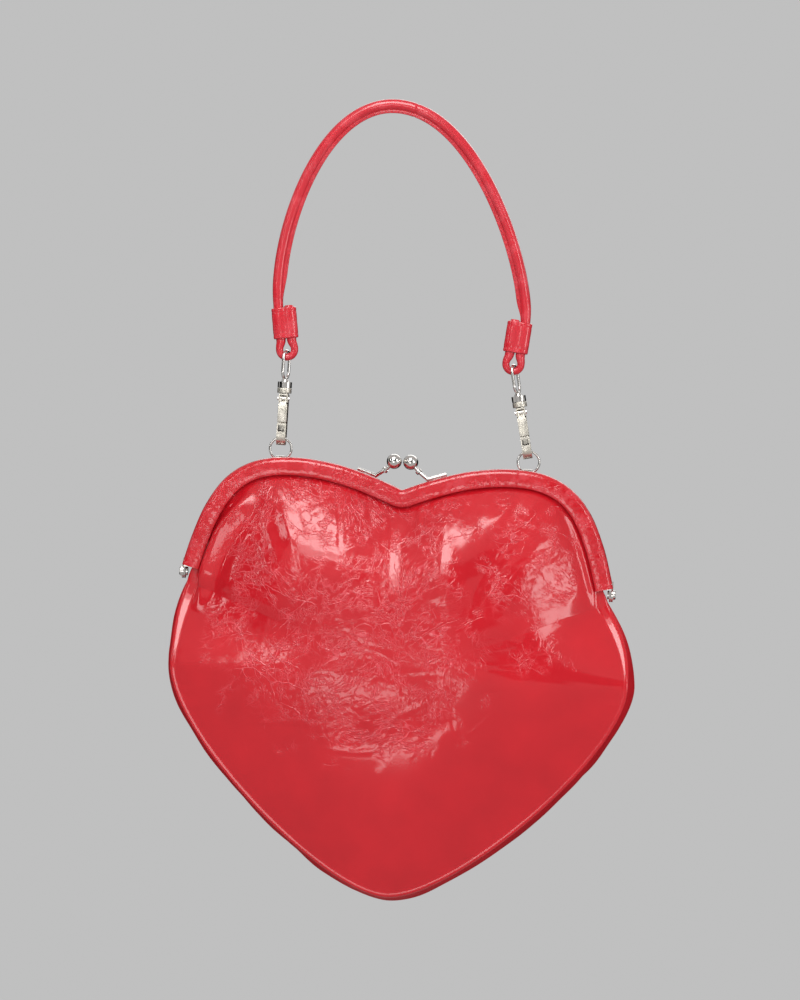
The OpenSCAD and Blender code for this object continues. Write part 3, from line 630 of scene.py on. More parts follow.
@dataclass
class PanelShape:
    """The swelling face of the pouch, from its edge in the frame and the seam to its middle."""

    bulge: float  # how far its middle stands out of the seam's plane
    step: float
    edge_n: float = 6.5  # depth below the crest of its edge in the frame
    mouth_n: float = 9.6  # depth below the crest at which it comes out of the frame
    rim_w: float = 2.6  # flat rim along the seam, and the same at the seam's top
    rim_w_top: float = 6.0
    flat_share: float = 0.9  # share of the way inwards on which it still rises
    frame_power: float = 2.6  # how steeply it rises from the frame, and from the seam
    seam_power: float = 2.0
    edge_roll: float = 1.3  # radius of the turned edge on the seam
    hinge_cover: float = 1.0  # how far it bellies out over the hinges, how far down, how high and how wide
    hinge_drop: float = 49.0
    hinge_cover_h: float = 7.0
    hinge_cover_w: float = 16.0
    edge: np.ndarray = field(init=False)
    mouth: np.ndarray = field(init=False)
    depth: np.ndarray = field(init=False)
    power: np.ndarray = field(init=False)
    sewn: np.ndarray = field(init=False)
    run: np.ndarray = field(init=False)
    flare: np.ndarray = field(init=False)

    def __post_init__(self) -> None:
        """Works out the stations round the edge: over the frame, then down and round the seam."""
        crest, seam = PLAN.crest(0, self.step), PLAN.seam(self.step)
        middle = np.array((0.0, -PLAN.widest_drop))
        inwards = middle - seam[:, :2]
        grown = PLAN.grown(seam[:, 1])
        rim_w = self.rim_w + (self.rim_w_top - self.rim_w) * (1 - grown[:, None])
        inner = seam[:, :2] + rim_w * inwards / np.linalg.norm(inwards, axis=1, keepdims=True)
        flat = np.tile((PLAN.rim_depth, self.frame_power, 0.0), (len(crest), 1))
        over = np.column_stack((
            crest[:, :2] + self.edge_n * crest[:, 2:], crest[:, :2] + self.mouth_n * crest[:, 2:], flat
        ))
        round_ = np.column_stack((
            seam[:, :2], inner, PLAN.seam_depth(seam[:, 1]),
            self.frame_power + (self.seam_power - self.frame_power) * grown, np.ones(len(seam)),
        ))
        share = np.linspace(0, 1, int(self.mouth_n / self.step) + 2)[1:-1, None]
        right = over[-1] + (round_[0] - over[-1]) * share
        left = round_[-1] + (over[0] - round_[-1]) * share
        rows = np.vstack((over, right, round_, left))
        outwards = self.hinge_cover * np.exp(-(((rows[:, 1] + self.hinge_drop) / self.hinge_cover_h) ** 2))
        self.flare = np.sign(rows[:, 0]) * outwards * (np.abs(rows[:, 0]) > PLAN.lobe_x)
        self.edge, self.mouth = rows[:, :2], rows[:, 2:4]
        self.depth, self.power, self.sewn = rows[:, 4:].T
        gaps = np.linalg.norm(np.diff(self.mouth, axis=0), axis=1)
        self.run = np.concatenate(([0], np.cumsum(gaps)))

    def surface(self, rows: np.ndarray, inset: float) -> np.ndarray:
        """Points of the face.

        Args:
            rows: Places inwards: -1 at the edge, 0 where the swell starts, 1 in the middle.
            inset: How far below the leather's outer face.

        Returns:
            Points from the notch, (rows, stations, 3), with y as the distance from the middle plane.
        """
        w = rows[:, None]
        rest = np.clip(1 - np.maximum(w, 0) / self.flat_share, 0, None)
        deep = PLAN.gusset_w / 2 + self.bulge
        y = self.depth + (deep - self.depth) * (1 - rest**self.power)
        to_middle = np.array((0.0, -PLAN.widest_drop)) - self.mouth
        span = np.linalg.norm(to_middle, axis=1)
        rim = self.edge + (self.mouth - self.edge) * (1 + np.minimum(w, 0))[..., None]
        place = np.where(w[..., None] > 0, self.mouth + to_middle * w[..., None], rim)
        rise = (deep - self.depth) * self.power / self.flat_share * rest ** (self.power - 1) / span
        rise = np.where(w > 0, rise, 0)
        slant = np.sqrt(1 + rise**2)
        place = place + (inset * rise / slant)[..., None] * to_middle / span[:, None]
        # The leather bellies out over the hinges
        place[..., 0] += self.flare * np.clip(1 - np.maximum(w, 0) * span / self.hinge_cover_w, 0, 1) ** 2
        if inset == 0:  # the sewn edge is turned under
            from_edge = np.clip((1 + w) * self.rim_w, 0, self.edge_roll)
            level = np.sqrt(np.maximum(self.edge_roll**2 - (self.edge_roll - from_edge) ** 2, 0))
            y = y - self.sewn * (self.edge_roll - level)
        return np.stack((place[..., 0] + PLAN.hang(place[..., 1]), y - inset / slant, place[..., 1]), axis=-1)


@dataclass(frozen=True)
class Fold:
    """One fold of the leather: its line from the notch, its width, and its height, below 0 for a valley."""

    line: tuple
    width: float
    height: float
    power: float = 1.4  # 1 for a sharp crest, 2 for a round one


@dataclass(frozen=True)
class Crush:
    """A patch of crushed leather: its middle, half its width and height, and how crushed it is."""

    x: float
    z: float
    half_w: float
    half_h: float
    share: float


FRONT_FOLDS = (
    # The two shoulders, where the pouch stands out beside the frame, and the hollows between them and the frame
    Fold(((-74, -2), (-82.6, -14.1), (-91.3, -25.9), (-97.6, -41.8), (-100.5, -54.9), (-103, -70)), 3.6, 4.2, 1.2),
    Fold(((72, 11), (80.6, 5.8), (90.2, -8.1), (99.2, -30.8), (104.1, -46.1), (109, -62)), 2.6, 2.8, 1.2),
    Fold(((-62, -10), (-57, -22), (-52, -34)), 3.0, 1.0),
    # Broad folds that tilt whole patches of the leather, so that each mirrors another part of the studio
    Fold(((20, 6), (24, -17), (24, -40), (26, -62)), 15.0, 2.1),
    Fold(((72, -2), (64, -20), (56, -31), (49, -41), (43, -50), (42, -61), (36, -76)), 8.0, -1.1),
    Fold(((-70, -4), (-72, -30), (-74, -60), (-70, -90)), 10.0, -1.0),
    Fold(((-48, -86), (-20, -96), (6, -100), (26, -98)), 16.0, 0.9),
    # Long creases that run down from the frame
    Fold(((-82, -13), (-74, -28), (-67, -41), (-61, -49), (-54, -52)), 1.3, 0.6),
    Fold(((-78, -12), (-69, -27), (-63, -40), (-55, -46), (-45, -45)), 1.2, -0.5),
    Fold(((68, -8), (64, -20), (56, -31), (49, -41), (43, -50), (42, -61), (37, -70), (32, -79)), 1.2, 0.6),
    Fold(((66, -4), (61, -17), (54, -29), (48, -39)), 1.3, -0.5),
    Fold(((-34, 3), (-32, -10), (-30, -23), (-29, -38)), 1.0, -0.45),
    Fold(((4, 8), (8, -2), (11, -15)), 1.0, 0.35),
    Fold(((26, -61), (25, -50), (22, -40), (21, -27), (25, -17)), 1.1, -0.4),
    Fold(((27, -35), (28, -45), (28, -55)), 0.9, 0.35),
    # Thin creases on the left flank
    Fold(((-91, -58), (-83, -49), (-74, -37)), 0.8, 0.25),
    Fold(((-93, -59), (-77, -60), (-64, -56)), 0.8, 0.25),
    Fold(((-93, -70), (-89, -65), (-90, -78)), 0.9, 0.4),
    Fold(((-65, -61), (-64, -69), (-66, -79), (-68, -88), (-72, -94), (-82, -103)), 1.0, 0.5),
    Fold(((-90, -93), (-84, -81), (-68, -69), (-62, -64)), 0.8, 0.25),
    # Creases across the middle
    Fold(((-50, -37), (-37, -36), (-24, -38), (-6, -40)), 1.0, -0.4),
    Fold(((-54, -72), (-40, -70), (-25, -72), (-9, -70), (4, -68), (13, -65), (23, -69)), 1.0, 0.42),
    Fold(((-34, -89), (-31, -86), (-20, -84), (-14, -82), (-4, -84), (6, -89)), 1.0, 0.42),
    Fold(((-20, -98), (-15, -96), (0, -95), (12, -93), (25, -91), (29, -86)), 1.0, 0.45),
    Fold(((-64, -110), (-54, -102), (-47, -95), (-42, -85)), 1.0, 0.4),
    Fold(((-37, -100), (-33, -113), (-28, -116)), 1.0, -0.4),
    Fold(((-10, -109), (5, -107), (26, -104)), 1.1, 0.45),
    # The lower edge of the crushed middle
    Fold(((-69, -123), (-57, -123), (-44, -122)), 1.0, 0.3),
    Fold(((-37, -134), (-22, -135), (-6, -134), (0, -126), (4, -117), (21, -108), (29, -101)), 1.1, 0.55),
    Fold(((-46, -106), (-42, -122), (-39, -129)), 1.0, -0.4),
    # The star and the swirls on the right
    Fold(((57, -52), (61, -42), (65, -36), (69, -34)), 1.1, 0.5),
    Fold(((69, -34), (74, -40), (80, -47), (92, -51)), 1.1, -0.5),
    Fold(((53, -33), (61, -37), (68, -34), (76, -28), (82, -26)), 1.1, 0.5),
    Fold(((2, -36), (7, -30), (14, -28), (21, -31), (23, -38)), 0.9, 0.35),
    Fold(((4, -44), (9, -36), (16, -36), (19, -42)), 0.9, -0.35),
    Fold(((33, -77), (37, -83), (45, -86), (55, -87), (73, -82), (94, -77)), 1.0, 0.4),
    Fold(((40, -76), (50, -73), (65, -75), (79, -81)), 0.9, -0.3),
    Fold(((48, -101), (60, -101)), 0.9, -0.25),
    Fold(((40, -124), (46, -120), (52, -114), (58, -108)), 0.9, 0.35),
    Fold(((33, -125), (43, -128), (50, -128)), 0.8, 0.2),
)
FRONT_CRUSH = (
    Crush(-22, -79, 62, 50, 1.0), Crush(-16, -9, 64, 24, 1.0), Crush(-72, -40, 17, 30, 0.9),
    Crush(69, -38, 24, 31, 1.0), Crush(8, -38, 24, 24, 1.0), Crush(-4, -118, 38, 17, 1.0),
    Crush(-50, -109, 24, 17, 0.9), Crush(66, -79, 30, 12, 0.55), Crush(-90, -74, 8, 16, 0.6),
)
BACK_CRUSH = (Crush(0, -40, 80, 32, 0.8), Crush(-30, -85, 45, 28, 0.6), Crush(45, -95, 40, 26, 0.55))


@dataclass
class Relief:
    """What stands out of a panel's smooth swell: its folds, its crushed patches and the puckers along the frame."""

    folds: tuple
    crush: tuple
    seed: int
    swell: float = 0.3  # height of the broad swells
    swell_size: float = 42.0
    broad: float = 2.0  # folds wider than this also show on the inner face
    fold_share: float = 0.22  # share of its height that a narrow fold gets
    small_folds: int = 420  # random ones that are tried; they stay by how crushed their place is
    pucker: float = 0.18  # height of the puckers along the frame, and where they fade out beside the shoulders
    pucker_end: float = 82.0
    pucker_fade: float = 24.0
    seam_pucker: float = 0.1
    shrivel: float = 0.025  # height of the finest swells of the crushed patches
    edge_fade: float = 2.4  # width of the edge on which everything fades out
    ragged: float = 0.18  # how ragged the outline of a crushed patch is, as a share of its size
    spread: tuple[float, float] = (-112, 118)  # where the small folds are tried, across and upwards
    rise: tuple[float, float] = (-200, 5)

    def crushed(self, x: np.ndarray, z: np.ndarray) -> np.ndarray:
        """How crushed the leather is at each place, from 0 to 1."""
        worst = np.zeros(x.shape)
        rough = self.ragged * waves(x, z, 15, self.seed + 7)
        for c in self.crush:
            away = np.sqrt(((x - c.x) / c.half_w) ** 2 + ((z - c.z) / c.half_h) ** 2) + rough
            worst = np.maximum(worst, c.share * smooth((1.25 - away) / 0.5))
        return worst

    def fold_height(self, x: np.ndarray, z: np.ndarray, fold: Fold) -> tuple[np.ndarray, np.ndarray]:
        """The height of one fold near its line.

        Args:
            x: Places across.
            z: Places upwards.
            fold: The fold.

        Returns:
            Which places are near it, and its height at those.
        """
        line = curved(fold.line, 2.0)
        room = 3.5 * abs(fold.width)
        near = (x > line[:, 0].min() - room) & (x < line[:, 0].max() + room)
        near &= (z > line[:, 1].min() - room) & (z < line[:, 1].max() + room)
        if not near.any():
            return near, np.zeros(0)
        p = np.stack((x[near], z[near]), axis=1)[:, None]
        a, b = line[:-1], line[1:]
        share = np.clip(((p - a) * (b - a)).sum(-1) / ((b - a) ** 2).sum(-1), 0, 1)
        away = np.linalg.norm(p - (a + share[..., None] * (b - a)), axis=-1)
        best = away.argmin(axis=1)
        row = np.arange(len(best))
        along = (best + share[row, best]) / len(a)
        taper = smooth(along / 0.25) * smooth((1 - along) / 0.3)
        crest = np.exp(-((away[row, best] / fold.width) ** fold.power))
        beside = np.exp(-(((away[row, best] - 2 * fold.width) / fold.width) ** 2))
        return near, fold.height * taper * (crest - 0.3 * beside)

    def height(
        self, points: np.ndarray, inwards: np.ndarray, run: np.ndarray, sewn: np.ndarray, fine: bool
    ) -> np.ndarray:
        """The height over the smooth swell.

        Args:
            points: Places from the notch, (rows, stations, 3).
            inwards: How far each place lies in from the edge, in millimetres.
            run: Where each station lies along the edge, in millimetres.
            sewn: 1 for the stations on the seam and 0 for those on the frame.
            fine: False for the inner face, which has only the broad forms.

        Returns:
            Heights in millimetres, (rows, stations).
        """
        x, z = points[..., 0], points[..., 2]
        crushed = self.crushed(x, z)
        total = self.swell * (0.2 + 0.8 * crushed) * waves(x, z, self.swell_size, self.seed)
        for fold in self.folds:
            if fine or fold.width > self.broad:
                near, height = self.fold_height(x, z, fold)
                total[near] += height * (1 if fold.width > self.broad else self.fold_share)
        # Puckers where the leather is gathered into the frame, and slighter ones along the sewn edge
        run = run[None, :] + 0 * inwards
        rows = self.pucker * waves(run, 0.35 * inwards, 9.0, self.seed + 2) * np.exp(-(((inwards - 4) / 13) ** 2))
        total += (1 - sewn) * rows * smooth((self.pucker_end - np.abs(x)) / self.pucker_fade)
        total += self.seam_pucker * sewn * waves(run, 0.2 * inwards, 6.0, self.seed + 3) * np.exp(-inwards / 7)
        if fine:
            rng = np.random.default_rng(self.seed + 5)
            for _ in range(self.small_folds):
                cx, cz, angle = rng.uniform(*self.spread), rng.uniform(*self.rise), rng.uniform(0, math.pi)
                length, bend = rng.uniform(5, 16), rng.uniform(-0.3, 0.3)
                share = self.crushed(np.array([cx]), np.array([cz]))[0]
                if rng.uniform(0, 1) > share:
                    continue
                way = np.array((math.cos(angle), math.sin(angle))) * length / 2
                mid = np.array((cx, cz))
                across = np.array((-way[1], way[0])) * bend
                line = (tuple(mid - way), tuple(mid + across), tuple(mid + way))
                fold = Fold(line, rng.uniform(0.6, 0.95), rng.choice((-1, 1)) * rng.uniform(0.03, 0.1))
                near, height = self.fold_height(x, z, fold)
                total[near] += height
            total += self.shrivel * crushed * waves(x, z, 4.5, self.seed + 11, 24)
        return total * smooth(inwards / self.edge_fade)


@dataclass
class Pouch:
    """The soft part of the bag: two swelling faces, the gusset between them and the lining inside."""

    leather_t: float = 1.4
    lining_gap: float = 0.4
    lining_t: float = 0.5
    front_bulge: float = 12.0
    back_bulge: float = 9.0
    gusset_bulge: float = 3.0
    gusset_bulge_top: float = 0.8
    gusset_step: float = 1.3
    seam_gap: float = 0.15
    fine_step: float = 0.96
    coarse_step: float = 1.9
    panel_reach: float = 96.0  # usual way from the rim to the middle, which sets the number of rows
    edge_rows: tuple = (-1, -0.97, -0.9, -0.78, -0.62, -0.45, -0.22)
    inner_rows: tuple = (-1, -0.5, 0, 0.05, 0.12, 0.2, 0.3, 0.42, 0.56, 0.7, 0.84, 0.97)
    gusset_swell: float = 0.35  # height of the gusset's soft swells, and of the puckers along its seams
    gusset_pucker: float = 0.1

    def to_row(self, points: np.ndarray, face: Face) -> np.ndarray:
        """Turns points with y as a depth into places in the shared frame, on one face."""
        return points * (1, face.value, 1) + NOTCH

    def panel(self, name: str, face: Face, bulge: float, relief: Relief, step: float) -> Object:
        """One face of the pouch, with its folds, as a closed sheet of leather."""
        shape = PanelShape(bulge, step)
        outer_rows = np.concatenate((self.edge_rows, np.linspace(0, 1, int(self.panel_reach / step) + 1)[:-1]))
        span = np.linalg.norm(shape.mouth - (0, -PLAN.widest_drop), axis=1)
        rings = []
        for rows, inset, fine in ((outer_rows[::-1], 0.0, True), (np.array(self.inner_rows), self.leather_t, False)):
            grid = shape.surface(rows, inset)
            normal = skin_normals(grid, np.array((0, 1.0, 0)))
            inwards = np.maximum(rows, 0)[:, None] * span
            rings.append(grid + relief.height(grid, inwards, shape.run, shape.sewn, fine)[..., None] * normal)
        piece = loft(name, self.to_row(np.vstack(rings), face), End.POLE, End.POLE, sharp=70)
        mark(piece, "crease", relief.crushed(rings[0][..., 0], rings[0][..., 2]).ravel())
        return piece

    def lining(self, name: str, face: Face, bulge: float, step: float = 4.0) -> Object:
        """The lining behind one face, as a closed sheet of cloth."""
        shape = PanelShape(bulge, step)
        rows = np.concatenate(((0.03, 0.06), np.linspace(0.1, 0.985, 26)))
        top = self.leather_t + self.lining_gap
        rings = []
        for order, inset in ((rows[::-1], top), (rows, top + self.lining_t)):
            grid = shape.surface(order, inset)
            soft = 0.35 * waves(grid[..., 0], grid[..., 2], 30, 41) - 0.3
            rings.append(grid + np.minimum(soft, 0)[..., None] * (0, 1, 0))
        return loft(name, self.to_row(np.vstack(rings), face), End.POLE, End.POLE, sharp=70)

    def gusset(
        self, name: str, inset: float, thickness: float, shy: float, skip: int, puckered: bool
    ) -> Object:
        """The strip round the sides and the bottom.

        Args:
            name: The piece's name.
            inset: How far its outer face lies under the leather's.
            thickness: Its thickness.
            shy: How far its edges stay short of the seams.
            skip: Stations left out at each end.
            puckered: True for the leather, whose edges are puckered by the seams.

        Returns:
            The piece.
        """
        path = PLAN.seam(self.gusset_step)
        path = path[skip : len(path) - skip]
        run = np.arange(len(path)) * self.gusset_step
        v = np.linspace(-1, 1, 29)
        grown = PLAN.grown(path[:, 1])[:, None]
        half = (PLAN.seam_depth(path[:, 1]) - shy)[:, None]
        swell = (self.gusset_bulge_top + (self.gusset_bulge - self.gusset_bulge_top) * grown) * (1 - v**2)
        rings = []
        for order, under in ((v, inset), (v[::-1], inset + thickness)):
            out = (swell if under == inset else swell[:, ::-1]) - under
            if puckered and under == inset:
                at = run[:, None] + 0 * v
                out = out + self.gusset_swell * grown * waves(at, half * v, 26, 61) * (1 - v**2)
                out = out + self.gusset_pucker * waves(at, 0.3 * half * v, 6, 62) * v**2 * (1 - v**8)
            x = path[:, :1] + out * path[:, 2:3]
            z = path[:, 1:2] + out * path[:, 3:4]
            rings.append(np.stack((x + PLAN.hang(z), half * order + 0 * x, z), axis=-1))
        return loft(name, self.to_row(np.concatenate(rings, axis=1), Face.BACK), sharp=60)

    def build(self, leather: Material, plain: Material, twill: Material) -> list[Object]:
        """Builds, dresses and places the pouch's pieces."""
        creased, calm = Relief(FRONT_FOLDS, FRONT_CRUSH, 3), Relief((), BACK_CRUSH, 19, small_folds=260)
        front = self.panel("front_leather", Face.FRONT, self.front_bulge, creased, self.fine_step)
        back = self.panel("back_leather", Face.BACK, self.back_bulge, calm, self.coarse_step)
        gusset = self.gusset("gusset_leather", 0, self.leather_t, self.leather_t + self.seam_gap, 0, True)
        top = self.leather_t + self.lining_gap
        linings = (
            self.lining("front_lining_cloth", Face.FRONT, self.front_bulge),
            self.lining("back_lining_cloth", Face.BACK, self.back_bulge),
            self.gusset("gusset_lining_cloth", top, self.lining_t, top + self.lining_t + 0.9, 3, False),
        )
        dress(front, leather)
        dress(back, leather)
        dress(gusset, plain)
        for cloth in linings:
            dress(cloth, twill)
        # The front leather and its lining keep their place, the other pieces ride on the bag
        for piece in (front, linings[0]):
            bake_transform(piece)
        for piece in (back, gusset, *linings[1:]):
            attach(piece, "bag")
        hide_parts("front_panel", "front_fold")
        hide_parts("back_panel")
        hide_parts("gusset")
        for cloth, node in zip(linings, ("front_lining", "back_lining", "gusset_lining")):
            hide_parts(node)
        return [front, back, gusset, *linings]


@dataclass
class ClaspFrame:
    """The frame's two halves: padded leather covers over channels, with the cords that jam the leather in."""

    band_w: float = 9.3
    half_depth: float = 6.6
    frame_gap: float = 0.4
    cover_top: float = 2.3  # depth of leather over the channel
    cavity_near: float = 1.5  # the channel's two sides, counted from the parting plane
    cavity_far: float = 5.3
    round_h: float = 3.2  # height of the rounded top
    crown: float = 0.35  # how far the padding swells the face
    lip_r: float = 0.4
    short: float = -1.4  # how far the leather ends short of the frame's ends, below 0 to pass them
    step: float = 0.85
    creases: int = 110
    crease_height: tuple[float, float] = (0.04, 0.15)
    lug_x: float = 64.5
    lug_half: float = 5.2
    lug_room: float = 0.9
    cord_step: float = 1.2
    cord_place: tuple[float, float] = (4.7, 3.4)  # depth below the crest, and distance from the parting plane
    cord_half: tuple[float, float] = (1.25, 0.75)

    def section(self) -> np.ndarray:
        """The cover's section: depth below the crest, distance from the parting plane, and how much it creases."""
        near, far = self.frame_gap / 2, self.frame_gap / 2 + self.half_depth
        middle = (near + far) / 2
        rows = [(self.band_w - 0.25, near, 0), (self.band_w - 1.6, near, 0), (5.6, near, 0)]
        for a in np.linspace(0, math.pi, 17):
            free = min(1.0, max(0.0, a / math.pi * 1.6 - 0.25))
            rows.append((self.round_h * (1 - math.sin(a)), middle - self.half_depth / 2 * math.cos(a), free))
        for n in np.linspace(4.0, self.band_w - self.lip_r, 7):
            share = (n - self.round_h) / (self.band_w - self.round_h)
            rows.append((n, far + self.crown * math.sin(math.pi * share), 1.0))
        for a in np.linspace(0, math.pi / 2, 5)[1:]:
            rows.append((self.band_w - self.lip_r * (1 - math.sin(a)), far - self.lip_r * (1 - math.cos(a)), 0.5))
        low, top = self.band_w, self.cover_top
        cavity = ((low, self.cavity_far), (top, self.cavity_far), (top, self.cavity_near), (low, self.cavity_near))
        return np.array(rows + [(*corner, 0) for corner in cavity])

    def along(self, path: np.ndarray, n: np.ndarray, y: np.ndarray) -> np.ndarray:
        """Points at depths n below the frame's crest, at distances y from the parting plane."""
        return np.stack((path[:, :1] + n * path[:, 2:3], y, path[:, 1:2] + n * path[:, 3:4]), axis=-1)

    def cover(self, name: str, face: Face, seed: int) -> Object:
        """One half's padded cover, creased across where it turns; the back one is cut away round the ring lugs."""
        path = PLAN.crest(self.short, self.step)
        section = self.section()
        n = np.tile(section[:, 0], (len(path), 1))
        y = np.tile(section[:, 1], (len(path), 1))
        if face is Face.BACK:
            room = smooth((self.lug_half + self.lug_room - np.abs(np.abs(path[:, 0]) - self.lug_x)) / 0.8)[:, None]
            open_ = (y < self.cavity_far + 0.15) & (n < self.cover_top + 0.01)
            n = np.where(open_, n + room * (self.cover_top + 0.15 - n), n)
        grid = self.along(path, n, y)
        normal = skin_normals(grid)
        run = np.arange(len(path)) * self.step
        run -= run.mean()
        u, v = run[:, None] + 0 * n, n + 0 * y
        height = 0.08 * waves(u, v, 14, seed) + 0.03 * waves(u, 0.4 * v, 3.4, seed + 1)
        rng = np.random.default_rng(seed)
        for _ in range(self.creases):
            # Creases across the band, closer together at the notch
            at = rng.normal(0, 24) if rng.uniform() < 0.5 else rng.uniform(run[0], run[-1])
            slant, width = rng.uniform(-0.8, 0.8), rng.uniform(0.5, 0.9)
            low, high = sorted(rng.uniform(0.4, self.band_w, 2))
            reach = smooth((v - low) / 1.5) * smooth((high - v) / 1.5)
            tall = rng.choice((-1, 1)) * rng.uniform(*self.crease_height)
            height += tall * reach * np.exp(-(((u - at - slant * v) / width) ** 2))
        ends = smooth((np.abs(run[0]) - np.abs(run)) / 4)[:, None]
        grid = grid + (height * section[:, 2] * ends)[..., None] * normal
        return loft(name, grid * (1, face.value, 1) + NOTCH, sharp=60)

    def paper_cord(self, name: str, face: Face) -> Object:
        """The twisted paper cord that is pressed into one half's channel."""
        path = PLAN.crest(2.0, self.cord_step)
        a = np.linspace(0, TURN, 12, endpoint=False)
        twist = 1 + 0.05 * np.sin(2 * a[None, :] + np.arange(len(path))[:, None] * 0.9)
        n = self.cord_place[0] + self.cord_half[0] * np.cos(a) * twist
        y = self.cord_place[1] + self.cord_half[1] * np.sin(a) * twist
        return loft(name, self.along(path, n, y) * (1, face.value, 1) + NOTCH)

    def build(self, leather: Material, paper: Material) -> list[Object]:
        """Builds, dresses and places the soft pieces of the frame."""
        made = []
        for face, body, word in ((Face.FRONT, "front_frame", "front"), (Face.BACK, "bag", "back")):
            cover = self.cover(f"{word}_cover_leather", face, 70 + face.value)
            dress(cover, leather)
            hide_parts(f"{word}_cover")
            cord = self.paper_cord(f"{word}_twisted_cord", face)
            dress(cord, paper)
            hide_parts(f"{word}_paper_cord")
            for piece in (cover, cord):
                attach(piece, body)
                made.append(piece)
        return made


@dataclass
class HandleEnd:
    """Where one end of the handle goes: how its hook leans, how its keeper stands out and how its line comes down."""

    side: Side
    lean: float
    out: float
    leg_in: float
    leg_share: float
    top_share: float


@dataclass
class TopHandle:
    """The rolled handle with its stitched fin, its end loops and the keepers that hold them."""

    ring_x: float = 64.5
    ring_z: float = -178.5
    ring_r: float = 5.6
    hook_reach: float = 42.0
    roll_r: float = 2.8
    strand_r: float = 2.5
    strand_x: float = 2.75
    loop_r: float = 3.9
    loop_cord_r: float = 1.9
    fin_w: float = 1.6
    fin_t: float = 1.7
    keeper_low: float = 9.75
    keeper_h: float = 16.0
    keeper_wall: float = 0.9
    keeper_room: float = 0.3
    grip_slope: float = math.radians(22)
    stitch_pitch: float = 2.7
    stitch_r: float = 0.21
    stitch_l: float = 1.5
    stitch_bend: float = 0.4  # how far from its middle a stitch turns down, and how deep its ends dip
    stitch_dip: float = 0.17
    stitch_out: float = 0.95  # how far outside the round of the roll the stitches lie
    pinch: float = 0.75  # depth and half width of the keeper's valley
    pinch_w: float = 1.25
    roll_step: float = 0.5
    loop_step: float = 0.6
    seam_x: float = -3.4  # where the strap is pieced together, and how deep the groove there is
    seam_depth: float = 0.28
    ends: tuple = (
        HandleEnd(Side.LEFT, 0.5, 8.0, -8.0, 0.405, 0.762),
        HandleEnd(Side.RIGHT, 12.0, 6.0, -2.3, 0.25, 0.634),
    )

    def at_keeper(self, end: HandleEnd, x: np.ndarray, z: np.ndarray) -> np.ndarray:
        """Points of an end's own frame, x outwards and z up along its lean, as places on the right side."""
        lean, out = math.radians(end.lean), math.radians(end.out)
        up = np.array((-math.sin(lean), math.cos(lean)))
        middle = np.array((self.ring_x, self.ring_z)) + (self.ring_r + self.hook_reach + self.loop_r) * up
        x, z = np.asarray(x, float), np.asarray(z, float) - self.loop_r
        across, upwards = x * math.cos(out) + z * math.sin(out), -x * math.sin(out) + z * math.cos(out)
        return np.stack((middle[0] + across, middle[1] + upwards), axis=-1)

    def half_line(self, end: HandleEnd, step: float) -> np.ndarray:
        """One side of the handle's line, from over the middle down into its keeper.

        Args:
            end: The end it goes to.
            step: Distance between two stations.

        Returns:
            Rows of x, z, the direction along it, its radius and its fin's share, on the right side.
        """
        out, leg = math.radians(end.out), math.radians(end.leg_in)
        slope = -end.side.value * self.grip_slope
        last = self.at_keeper(end, self.strand_x, self.keeper_low + self.keeper_h)
        curve = np.array((
            (0, 0), end.top_share * last[0] * np.array((math.cos(slope), math.sin(slope))),
            last + end.leg_share * abs(last[1]) * np.array((-math.sin(leg), math.cos(leg))), last,
        ))
        t = np.linspace(0, 1, 500)
        place, way = bezier(curve, t)
        radius = self.roll_r + (self.strand_r - self.roll_r) * smooth((t - 0.9) / 0.1)
        rows = np.column_stack((place, way, radius, 1 - smooth((t - 0.86) / 0.12)))
        foot = self.at_keeper(end, self.strand_x, self.keeper_low + 3.95)
        down = np.array((-math.sin(out), -math.cos(out)))
        return spaced(np.vstack((rows, (*foot, *down, self.strand_r, 0))), step)

    def line(self, step: float) -> np.ndarray:
        """The whole of the handle's line, from the left keeper to the right one, with columns as in half_line."""
        left, right = (self.half_line(end, step) for end in self.ends)
        rows = np.vstack((left[:0:-1] * (-1, 1, 1, -1, 1, 1), right))
        rows[:, 2:4] /= np.linalg.norm(rows[:, 2:4], axis=1, keepdims=True)
        return rows

    def roll(self) -> Object:
        """The rolled strap: a round core whose two edges meet in a thin fin on the inner side."""
        line = self.line(self.roll_step)
        centre, way, radius, fin = line[:, :2], line[:, 2:4], line[:, 4:5], line[:, 5:6]
        # The strap is pieced together near its top, which leaves a fine groove
        radius = radius - self.seam_depth * np.exp(-(((centre[:, :1] - self.seam_x) / 0.45) ** 2))
        inner = np.stack((way[:, 1], -way[:, 0]), axis=1)
        start = math.asin(self.fin_t / 2 / self.roll_r)
        a = np.linspace(start, TURN - start, 27)
        round0, round1 = radius * np.cos(a), radius * np.sin(a)
        # The fin, from its root to its tip: share of its length, and half its thickness with the stitched groove
        shares = np.array((0.12, 0.3, 0.48, 0.66, 0.84, 0.96))
        halves = np.array((0.83, 0.8, 0.72, 0.72, 0.78, 0.6))
        root = radius * math.cos(start)
        tip = radius + self.fin_w * fin + 0.1
        fin0 = root + (tip - root) * shares
        q0 = np.concatenate((round0, fin0, tip + 0 * root, fin0[:, ::-1]), axis=1)
        q1 = np.concatenate((round1, -(halves + 0 * fin0), 0 * tip, (halves + 0 * fin0)[:, ::-1]), axis=1)
        grid = np.stack((centre[:, :1] + q0 * inner[:, :1], q1, centre[:, 1:] + q0 * inner[:, 1:]), axis=-1)
        return loft("handle_roll", grid, sharp=60)

